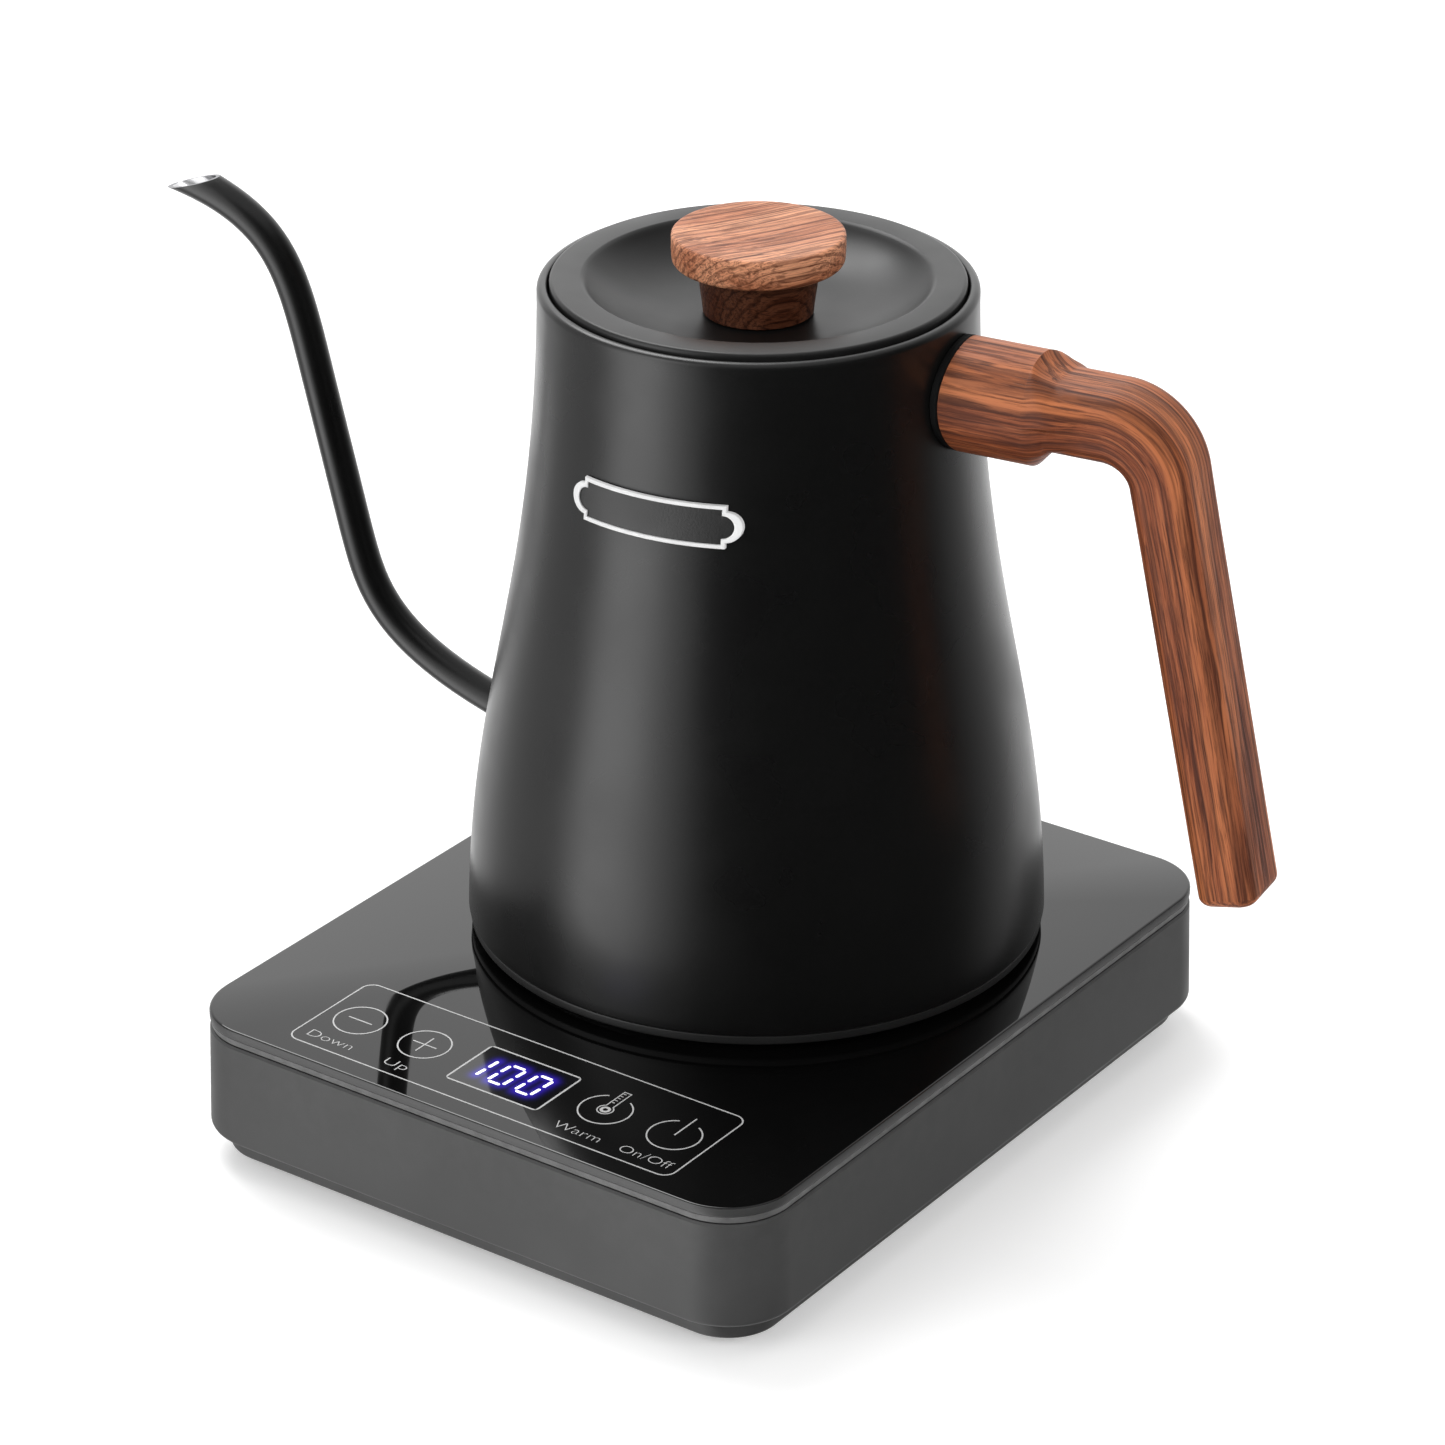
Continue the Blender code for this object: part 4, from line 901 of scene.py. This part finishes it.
def spoutLine():
    root = curveThrough(*spoutShape["root"], 30)
    top = curveThrough(*spoutShape["top"], 36)
    straight = [root[-1].lerp(top[0], k / 8) for k in range(1, 8)]
    return root + straight + top


def makeSpout():
    path = spoutLine()
    lengths = distancesAlong(path)
    sides = 48

    def tube(radius):
        rows = []
        for k, point in enumerate(path):
            ahead = aheadAt(path, k)
            side = Vector((-ahead.y, ahead.x))
            left = (lengths[-1] - lengths[k]) / spoutShape["flareLength"]
            grow = radius * (1 + (spoutShape["flare"] - 1) * max(0.0, 1 - left) ** 2)
            row = []
            for j in range(sides):
                a = 2 * math.pi * j / sides
                row.append(Vector((point.x + side.x * grow * math.cos(a), grow * math.sin(a),
                                   point.y + side.y * grow * math.cos(a))))
            rows.append(row)
        return rows

    outer = tube(spoutShape["radius"])
    bore = tube(spoutShape["radius"] - spoutShape["wall"])[::-1]
    inks = [0] * (len(outer) - 1) + [1] * len(bore) + [0]
    bm = skinned(outer + bore, wrap=True, inks=inks)
    low, high = (Vector((p[0], 0.0, p[1])) for p in spoutShape["mouth"])
    along = (high - low).normalized()
    upward = Vector((-along.z, 0.0, along.x))
    bmesh.ops.bisect_plane(bm, geom=bm.verts[:] + bm.edges[:] + bm.faces[:], plane_co=low, plane_no=upward,
                           clear_outer=True)
    rim = [e for e in bm.edges if e.is_boundary]
    lip = bmesh.ops.bridge_loops(bm, edges=rim)["faces"]
    for face in lip:
        face.material_index = 2
    addPiece("spout", bm, kettlePlace, "kettle", ["blackCoat", "steelBright", "steelLip"],
             ["spout_tube"])
    print("spout made")


# plaque on the body's side, left blank
plaqueShape = {
    "height": 0.1247, "half": 0.0178, "rise": 0.0050, "end": 0.0036, "rim": 0.00088,
    "fieldLift": 0.0008, "rimLift": 0.0013, "backLift": 0.0003,
}


def onBody(x, z, lift):
    height = plaqueShape["height"] + z
    reach = shellRadius(height) + lift
    return Vector((x, -math.sqrt(reach ** 2 - x ** 2), height))


def plaqueOutline(inset):
    half, rise, end = plaqueShape["half"] - inset, plaqueShape["rise"] - inset, plaqueShape["end"] - inset
    arc = [Vector((half + end * math.cos(a), end * math.sin(a)))
           for a in np.linspace(-math.pi / 2, math.pi / 2, 17)]
    right = [Vector((half, -rise))] + arc + [Vector((half, rise))]
    top = [Vector((half - 2 * half * k / 24, rise)) for k in range(1, 24)]
    left = [Vector((-p.x, -p.y)) for p in right]
    bottom = [Vector((-p.x, -p.y)) for p in top]
    return right + top + left + bottom


def makePlaque():
    lift = plaqueShape["rimLift"]
    levels = [(0.0, plaqueShape["backLift"]), (0.0, lift - 0.00015), (0.00015, lift),
              (plaqueShape["rim"] - 0.00015, lift), (plaqueShape["rim"], lift - 0.00015),
              (plaqueShape["rim"], plaqueShape["backLift"])]
    rows = [[onBody(p.x, p.y, h) for p in plaqueOutline(inset)] for inset, h in levels]
    addPiece("plaqueRim", skinned(rows, wrap=True), kettlePlace, "kettle", ["plaqueRim"])
    edge = plaqueShape["rim"] + 0.00002
    half, rise, end = plaqueShape["half"] - edge, plaqueShape["rise"] - edge, plaqueShape["end"] - edge
    columns = list(np.linspace(-half, half, 41))
    bulge = [half + end * math.sin(a) for a in np.linspace(0.001, math.pi / 2 - 0.05, 12)]
    xs = [-x for x in bulge[::-1]] + columns + bulge
    rows = []
    for x in xs:
        reach = rise if abs(x) <= half + 1e-9 else math.sqrt(max(end ** 2 - (abs(x) - half) ** 2, 1e-10))
        front = [onBody(x, reach * s, plaqueShape["fieldLift"]) for s in np.linspace(-1, 1, 11)]
        back = [onBody(x, reach * s, plaqueShape["backLift"]) for s in np.linspace(1, -1, 11)]
        rows.append(front + back)
    addPiece("plaqueField", skinned(rows), kettlePlace, "kettle", ["plaqueField"], ["nameplate"])
    print("plaque made")


# handle
handleShape = {
    "height": 0.1450, "collar": 0.0132, "gasket": 0.0022, "gasketThick": 0.0016,
    "armHeight": 0.1457, "armHalf": 0.0081, "armSide": 0.0100, "armRound": 0.0047,
    "gripHalf": 0.0072, "gripSide": 0.0094, "gripRound": 0.0040, "endRound": 0.0024,
    "topStep": (0.0733, 0.0036), "lowStep": (0.0714, 0.0026), "sideLength": 0.0140, "slant": 0.0026,
    "bendStart": 0.0889, "bendRadius": 0.0140, "lean": 12.0, "endHeight": 0.0352,
    "armRows": 60, "riseLength": 0.0050, "figureRing": 0.0100, "screwPocket": 0.0031, "gasketBore": 0.0063,
    "gasketLift": 0.0003,
}


def handleLine():
    height, armHeight = handleShape["height"], handleShape["armHeight"]
    points = []
    for x in np.linspace(0.0600, handleShape["bendStart"], handleShape["armRows"]):
        rise = softStep((x - handleShape["lowStep"][0]) / handleShape["riseLength"])
        points.append(Vector((x, height + (armHeight - height) * rise)))
    swing = math.radians(90.0 - handleShape["lean"])
    radius = handleShape["bendRadius"]
    for k in range(1, 33):
        a = swing * k / 32
        x = handleShape["bendStart"] + radius * math.sin(a)
        points.append(Vector((x, armHeight - radius * (1 - math.cos(a)))))
    lean = math.radians(handleShape["lean"])
    down = Vector((math.sin(lean), -math.cos(lean)))
    bendEnd = points[-1]
    length = (bendEnd.y - handleShape["endHeight"]) / math.cos(lean)
    endRound = handleShape["endRound"]
    for k in range(1, 50):
        points.append(bendEnd + down * (length - endRound) * k / 49)
    for a in np.linspace(0, math.pi / 2, 7)[1:]:
        points.append(bendEnd + down * (length - endRound + endRound * math.sin(a)))
    return points


def softStep(value):
    value = max(0.0, min(1.0, value))
    return value * value * (3 - 2 * value)


def scoop(value):
    # leaves the collar at a crisp edge and runs out smoothly
    return 1 - (1 - max(0.0, min(1.0, value))) ** 1.8


def boxPoint(a, b, r, t):
    # point of a rounded rectangle at the same corner angle as a circle's
    up, out = math.cos(t), math.sin(t)
    return (math.copysign(a - r, up) if abs(up) > 1e-9 else 0.0) + r * up, math.copysign(b - r, out) + r * out


def handleSection(x, share, shrink):
    # the round collar gives way to the flatter arm, above, below and at the sides in different places
    collar = handleShape["collar"]
    arm, grip = [[handleShape[part + key] for key in ("Half", "Side", "Round")] for part in ("arm", "grip")]
    half, side, roundOff = [a + (b - a) * share for a, b in zip(arm, grip)]
    section = []
    for quarter in range(4):
        for step in range(11):
            t = math.pi / 2 * (quarter + (step + 0.02) / 10.04)
            start, length = handleShape["topStep"] if math.cos(t) > 0 else handleShape["lowStep"]
            toSide = math.sin(t) ** 2
            if math.cos(t) > 0:
                start, spread = start + handleShape["slant"] * toSide, toSide ** 4
            else:
                spread = toSide
            length += (handleShape["sideLength"] - length) * spread
            drop = scoop((x - start) / length) if spread < 0.5 else softStep((x - start) / length)
            flat = boxPoint(half - shrink, side - shrink, max(roundOff - shrink, 0.0006), t)
            ring = collar * math.cos(t), collar * math.sin(t)
            section.append((ring[0] + (flat[0] - ring[0]) * drop, ring[1] + (flat[1] - ring[1]) * drop))
    return section


def makeHandle():
    path = handleLine()
    lengths = distancesAlong(path)
    armRows, endRound = handleShape["armRows"], handleShape["endRound"]
    rows, grain = [], []
    for k, point in enumerate(path):
        ahead = aheadAt(path, k)
        side = Vector((-ahead.y, ahead.x))
        share = softStep((k - armRows) / 40)
        left = lengths[-1] - lengths[k]
        shrink = 0.0
        if left < endRound:
            shrink = endRound - math.sqrt(max(endRound ** 2 - (endRound - left) ** 2, 0.0))
        section = handleSection(point.x if k < armRows else 1.0, share, shrink)
        rows.append([Vector((point.x + side.x * a, b, point.y + side.y * a)) for a, b in section])
        # the figure follows the bend, so it is laid out on one even ring all along the handle
        even = handleShape["figureRing"] * (1 - shrink / endRound)
        grain.append([(lengths[k], even * a / math.hypot(a, b), even * b / math.hypot(a, b))
                      for a, b in section])
    first, firstGrain = rows[0], grain[0]
    saddle = []
    for p in first:
        reach = shellRadius(p.z) + handleShape["gasket"]
        saddle.append(Vector((math.sqrt(reach ** 2 - p.y ** 2), p.y, p.z)))
    between = [[s.lerp(p, share) for s, p in zip(saddle, first)] for share in (0.0, 0.04, 0.35, 0.7)]
    betweenGrain = [[(p.x - first[0].x, g[1], g[2]) for p, g in zip(row, firstGrain)] for row in between]
    rows = between + rows
    grain = betweenGrain + grain
    bm = skinned(rows)
    places = bm.verts.layers.float_vector.new("grainPlace")
    bm.verts.ensure_lookup_table()
    flat = [g for row in grain for g in row]
    for index, g in enumerate(flat):
        bm.verts[index][places] = g
    for v in bm.verts[len(flat):]:
        near = min(range(len(flat)), key=lambda index: (bm.verts[index].co - v.co).length)
        v[places] = flat[near]
    handle = addPiece("handle", bm, kettlePlace, "kettle", ["handleWood"], ["handle"], 38.0)
    screwX = (kettlePlace.inverted() @ handleScrew).x
    low = handleShape["height"] - handleShape["collar"]
    pocket = rodShape(handleShape["screwPocket"], low - 0.002, low + 0.0032, at=(screwX, 0.0))
    cutWith(handle, pocket, kettlePlace)

    gasket = []
    inner = handleShape["gasketLift"]
    outer = inner + handleShape["gasketThick"]
    width, bore = handleShape["collar"], handleShape["gasketBore"]
    for radius, lift in ((width - 0.0001, inner), (width, outer - 0.0003), (width - 0.0003, outer),
                         (bore, outer), (bore, inner)):
        row = []
        for j in range(72):
            a = 2 * math.pi * j / 72
            z = handleShape["height"] + radius * math.sin(a)
            y = radius * math.cos(a)
            row.append(Vector((math.sqrt((shellRadius(z) + lift) ** 2 - y ** 2), y, z)))
        gasket.append(row)
    addPiece("handleGasket", skinned(gasket, wrap=True), kettlePlace, "kettle", ["gasketBlack"],
             ["handle_gasket"])
    print("handle made")


# lid and knob
lidShape = {
    "thick": 0.0011, "edge": 0.0010, "dish": 0.0401, "dishBottom": 0.1550, "hub": 0.0140, "hole": 0.0018,
    "dishHandles": [(0.0352, 0.1580), (0.0255, 0.1550)],
}
knobShape = {
    "foot": 0.0127, "footEdge": 0.0003, "neckHandles": [(0.0129, 0.0030), (0.0135, 0.0065)],
    "shoulder": 0.0143, "disc": 0.0073, "underRound": 0.0012, "edge": 0.0010, "topDip": 0.0006,
    "dipInset": 0.0040, "bore": 0.0018,
}
lidSkirt, lidTop = heightsOf("lid_cap")
lidRadius = reachOf("lid_cap")
knobTop = heightsOf("knob")[1]
knobRadius = reachOf("knob")


def makeLid():
    thick, dish, hub = lidShape["thick"], lidShape["dish"], lidShape["hub"]
    bowl = curveThrough((dish, lidTop), *lidShape["dishHandles"], (hub, lidShape["dishBottom"]), 28)
    skirt = rounded([
        (dish, lidTop - thick), (lidRadius - thick, lidTop - thick, 0.0003), (lidRadius - thick, lidSkirt),
        (lidRadius, lidSkirt), (lidRadius, lidTop, lidShape["edge"]), (dish + 0.0006, lidTop),
    ], 6)
    under = [Vector((p.x, p.y - thick)) for p in reversed(bowl)]
    points = skirt[1:] + [Vector((dish + 0.0002, lidTop - 0.00004))] + bowl[1:]
    points += [Vector((lidShape["hole"], lidShape["dishBottom"] - drop)) for drop in (0.0, thick)]
    points += under
    addPiece("lid", turned(points, 192), kettlePlace, "lid", ["lidCoat"], ["lid_cap"])

    foot = heightsOf("knob")[0]
    top, disc = knobTop, knobTop - knobShape["disc"]
    edge = knobShape["footEdge"]
    dipRadius = knobRadius - knobShape["dipInset"]
    (lowX, lowZ), (highX, highZ) = knobShape["neckHandles"]
    neck = curveThrough((knobShape["foot"], foot + edge), (lowX, foot + lowZ), (highX, foot + highZ),
                        (knobShape["shoulder"], disc), 18)
    side = rounded([
        (knobShape["shoulder"], disc), (knobRadius - 0.0002, disc, knobShape["underRound"]),
        (knobRadius, top - 0.0040), (knobRadius, top, knobShape["edge"]), (dipRadius, top - 0.0001),
    ], 7)
    dip = [Vector((r, top - 0.0001 - knobShape["topDip"] * (1 - (r / dipRadius) ** 2)))
           for r in np.linspace(knobRadius - 0.0045, 0.0, 16)]
    points = [Vector((0.0, foot)), Vector((knobShape["foot"] - edge, foot))] + neck + side[1:] + dip
    knob = addPiece("knob", turned(points, 128), kettlePlace, "lid", ["knobWood"], ["knob"], 45.0)
    cutWith(knob, rodShape(knobShape["bore"], foot - 0.002, foot + 0.0125), kettlePlace)
    # marks the neck under the disc, where the knob's wood gets painted shade
    under = knob.data.attributes.new("paintedShadeUnderDisc", "FLOAT", "POINT")
    for v in knob.data.vertices:
        under.data[v.index].value = 1.0 if v.co.z < disc + 0.0002 else 0.0
    print("lid and knob made")


# small turned pieces get the frame's own profiles, finer round
def turnAgain(name, node, body, look, spot, steps=96):
    place = Matrix.Translation((spot.x, spot.y, 0.0))
    mesh = bmesh.new()
    mesh.from_mesh(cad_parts[node].data)
    mesh.transform(place.inverted())
    bmesh.ops.remove_doubles(mesh, verts=mesh.verts, dist=2e-6)
    rim = max(mesh.verts, key=lambda v: math.hypot(v.co.x, v.co.y))
    column = math.atan2(rim.co.y, rim.co.x)

    def inColumn(v):
        radius = math.hypot(v.co.x, v.co.y)
        off = (math.atan2(v.co.y, v.co.x) - column + math.pi) % (2 * math.pi) - math.pi
        return radius < 2e-5 or abs(off) * radius < 2e-5

    links = {v: [] for v in mesh.verts if inColumn(v)}
    for edge in mesh.edges:
        a, b = edge.verts
        if a in links and b in links:
            links[a].append(b)
            links[b].append(a)
    start = min(links, key=lambda v: (len(links[v]), math.hypot(v.co.x, v.co.y)))
    walk, here = [start], start
    while True:
        ahead = [v for v in links[here] if v not in walk]
        if not ahead:
            break
        here = ahead[0]
        walk.append(here)
    points = []
    for v in walk:
        radius = math.hypot(v.co.x, v.co.y)
        points.append((radius if radius > 2e-5 else 0.0, v.co.z))
    mesh.free()
    lows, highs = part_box(node)
    span = max(p[1] for p in points) - min(p[1] for p in points)
    if len(walk) < 3 or abs(span - (highs.z - lows.z)) > 1e-5:
        print("  kept as it is:", node, len(walk), len(links))
        return None
    return addPiece(name, turned(points, steps), place, body, [look], [node])


def makeSmallRounds():
    spot = Vector((axis.x, axis.y))
    for name, node, body, slotName, look in (
        ("socketBody", "socket_body", "power_base", "black_plastic", "blackPlastic"),
        ("socketCentreContact", "socket_centre_contact", "power_base", "brass", "brassPlain"),
        ("socketRingContact", "socket_ring_contact", "power_base", "brass", "brassPlain"),
        ("connectorCup", "connector_cup", "kettle_connector", "black_plastic", "blackPlastic"),
        ("connectorPin", "connector_pin", "kettle_connector", "brass", "brassPlain"),
        ("connectorRing", "connector_ring", "kettle_connector", "brass", "brassPlain"),
        ("lidLiner", "lid_liner", "lid", "black_plastic", "blackPlastic"),
        ("lidSeal", "lid_seal", "lid", "silicone", "siliconeSeal"),
        ("knobWasher", "knob_washer", "lid", "steel", "steelBrushed"),
        ("knobScrew", "knob_screw", "lid", "steel", "steelBrushed"),
    ):
        turnAgain(name, node, body, look, spot)
    for corner in baseCorners:
        label = corner.title().replace("_", "")
        node = "foot_" + corner
        turnAgain("foot" + label, node, "power_base", "rubberBlack", middleOf(node), 64)
        node = "cover_screw_" + corner
        turnAgain("coverScrew" + label, node, "power_base", "steelBrushed", middleOf(node), 48)
    for letter in "abc":
        node = "base_cover_screw_" + letter
        turnAgain("baseCoverScrew" + letter.upper(), node, "kettle", "steelBrushed",
                  middleOf(node), 48)
    node = "capacitor"
    turnAgain(node, node, "power_base", "aluminiumPlain", middleOf(node), 64)
    print("small round pieces made")


# the kettle's plastic foot
footShape = {
    "cup": 0.0193, "seat": 0.0642, "flange": 0.0687, "screwHead": 0.0031,
    "underside": 0.0005, "step": 0.0019, "upstandTop": 0.0080, "upstandThick": 0.0014,
    "web": (0.0634, 0.0036), "floor": (0.0624, 0.0023),      # radius, height
}


def makeKettleFoot():
    upstand = shellRadius(shellFoot) - bodyShape["thick"] - 0.0006
    lip = shellFoot - 0.0003
    low, step, top = footShape["underside"], footShape["step"], footShape["upstandTop"]
    cup, seat, flange = footShape["cup"], footShape["seat"], footShape["flange"]
    inside = upstand - footShape["upstandThick"]
    web, floor = footShape["web"], footShape["floor"]
    shape = rounded([
        (cup, low, 0.0003), (seat, low, 0.0003), (seat + 0.0008, step), (flange, step, 0.0006),
        (flange, lip, 0.0003), (upstand, lip), (upstand, top), (inside, top), (inside, web[1]), web, floor,
        (cup, floor[1]),
    ], 4)
    foot = addPiece("kettleFoot", turned(shape, 192), kettlePlace, "kettle",
                    ["blackPlastic"], ["kettle_base_cover"])
    for letter in "abc":
        spot = kettlePlace.inverted() @ middleOf("base_cover_screw_" + letter)
        cutWith(foot, rodShape(footShape["screwHead"], -0.001, 0.0040, at=(spot.x, spot.y)), kettlePlace)
    print("kettle foot made")


cadLooks = {
    "heating_floor": "steelBrushed", "heat_spreader": "aluminiumPlain", "heating_element": "steelBrushed",
    "thermal_cutout": "blackPlastic", "temperature_sensor": "steelBrushed", "handle_bracket": "steelBrushed",
    "handle_screw": "steelBrushed", "cord_gland": "rubberBlack", "cord_clamp": "blackPlastic",
    "main_board": "boardGreen", "touch_board": "boardGreen", "relay": "blackPlastic",
    "power_transformer": "boardGreen", "buzzer": "blackPlastic",
}


def dressFrame():
    for node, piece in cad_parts.items():
        look = cadLooks.get(node)
        if node.startswith("touch_spring"):
            look = "steelBright"
        if look is None and not piece.hide_render:
            look = "steelBrushed" if "screw" in node else "blackPlastic"
        if look:
            piece.data.materials.clear()
            piece.data.materials.append(finishes[look])
    print("frame pieces dressed")


# studio: a bright surround behind, darkness towards the viewer, a soft box at the left and a weak
# fill at the right
studio = {
    "floorGrey": 0.86,
    "surround": [(0, 0.004), (30, 0.004), (85, 0.012), (112, 0.36), (140, 1.0), (180, 1.60), (216, 1.15),
                 (240, 0.58), (272, 0.70), (291, 3.2), (303, 3.2), (322, 1.2), (338, 0.06), (360, 0.004)],
    "overhead": 0.6, "overheadFrom": 0.62, "overheadTo": 0.85,
    "floorGlow": 0.32,       # keeps the paper white right up to the soft shadow
    "lampAim": (0.0, 0.0, 0.08),
    "lamps": {"keySoftbox": {"power": 26.0, "size": 1.3, "place": (-1.1, 0.5, 1.9), "reflected": True},
              "sideFill": {"power": 7.5, "size": 1.0, "place": (1.15, -0.30, 0.70), "reflected": False}},
}


def makeFloor():
    half = 8.0
    bm = bmesh.new()
    corners = [bm.verts.new((sx * half, sy * half, 0.0)) for sx, sy in ((-1, -1), (1, -1), (1, 1), (-1, 1))]
    bm.faces.new(corners)
    mesh = bpy.data.meshes.new("floor")
    bm.to_mesh(mesh)
    bm.free()
    floor = bpy.data.objects.new("floor", mesh)
    bpy.context.scene.collection.objects.link(floor)
    material = bpy.data.materials.new("floorWhite")
    material.use_nodes = True
    tree = material.node_tree
    tree.nodes.clear()
    white = addNode(tree, "BsdfDiffuse", {"Color": grey(studio["floorGrey"])})
    clear = addNode(tree, "BsdfTransparent")
    rays = addNode(tree, "LightPath")
    lift = addNode(tree, "Emission", {
        "Color": grey(1.0),
        "Strength": maths(tree, "MULTIPLY", rays.outputs["Is Camera Ray"], studio["floorGlow"])})
    lifted = addNode(tree, "AddShader", {0: white.outputs[0], 1: lift.outputs[0]})
    mix = addNode(tree, "MixShader", {
        0: rays.outputs["Is Glossy Ray"], 1: lifted.outputs[0], 2: clear.outputs[0]})
    out = addNode(tree, "OutputMaterial")
    tree.links.new(mix.outputs[0], out.inputs["Surface"])
    mesh.materials.append(material)


def makeWorld():
    world = bpy.data.worlds.new("studio")
    bpy.context.scene.world = world
    world.use_nodes = True
    tree = world.node_tree
    tree.nodes.clear()
    way = addNode(tree, "TexCoord").outputs["Generated"]
    parts = split(tree, way)
    angle = maths(tree, "ARCTAN2", parts["Y"], parts["X"])
    azimuth = math.radians(cameraSet["azimuth"])
    facing = math.atan2(-math.cos(azimuth), math.sin(azimuth))
    share = maths(tree, "FRACT", maths(tree, "ADD", maths(tree, "DIVIDE", maths(
        tree, "SUBTRACT", angle, facing), 2 * math.pi), 2.0))
    ramp = addNode(tree, "ValToRGB")
    ramp.color_ramp.interpolation = "EASE"
    stops = studio["surround"]
    most = max(level for _, level in stops)
    elements = ramp.color_ramp.elements
    elements[0].position, elements[1].position = 0.0, 1.0
    elements[0].color = grey(stops[0][1] / most)
    elements[1].color = grey(stops[-1][1] / most)
    for degrees, level in stops[1:-1]:
        element = elements.new(degrees / 360)
        element.color = grey(level / most)
    tree.links.new(share, ramp.inputs["Fac"])
    high = remap(tree, parts["Z"], studio["overheadFrom"], studio["overheadTo"])
    colour = blendColours(tree, high, ramp.outputs["Color"], grey(studio["overhead"] / most))
    back = addNode(tree, "Background", {"Color": colour, "Strength": most})
    out = addNode(tree, "OutputWorld")
    tree.links.new(back.outputs[0], out.inputs["Surface"])


def makeLights():
    for name, lamp in studio["lamps"].items():
        light = bpy.data.lights.new(name, "AREA")
        light.shape = "DISK"
        light.size = lamp["size"]
        light.energy = lamp["power"]
        holder = bpy.data.objects.new(name, light)
        bpy.context.scene.collection.objects.link(holder)
        holder.location = lamp["place"]
        back = Vector(lamp["place"]) - Vector(studio["lampAim"])
        holder.rotation_euler = back.to_track_quat("Z", "Y").to_euler()
        holder.visible_glossy = lamp["reflected"]
    bpy.context.scene.view_settings.view_transform = "Standard"


makeCamera()
makeFloor()
makeWorld()
makeLights()
makeBase()
makeStrip()
makeBody()
makeSpout()
makePlaque()
makeHandle()
makeLid()
makeKettleFoot()
makeSmallRounds()
dressFrame()
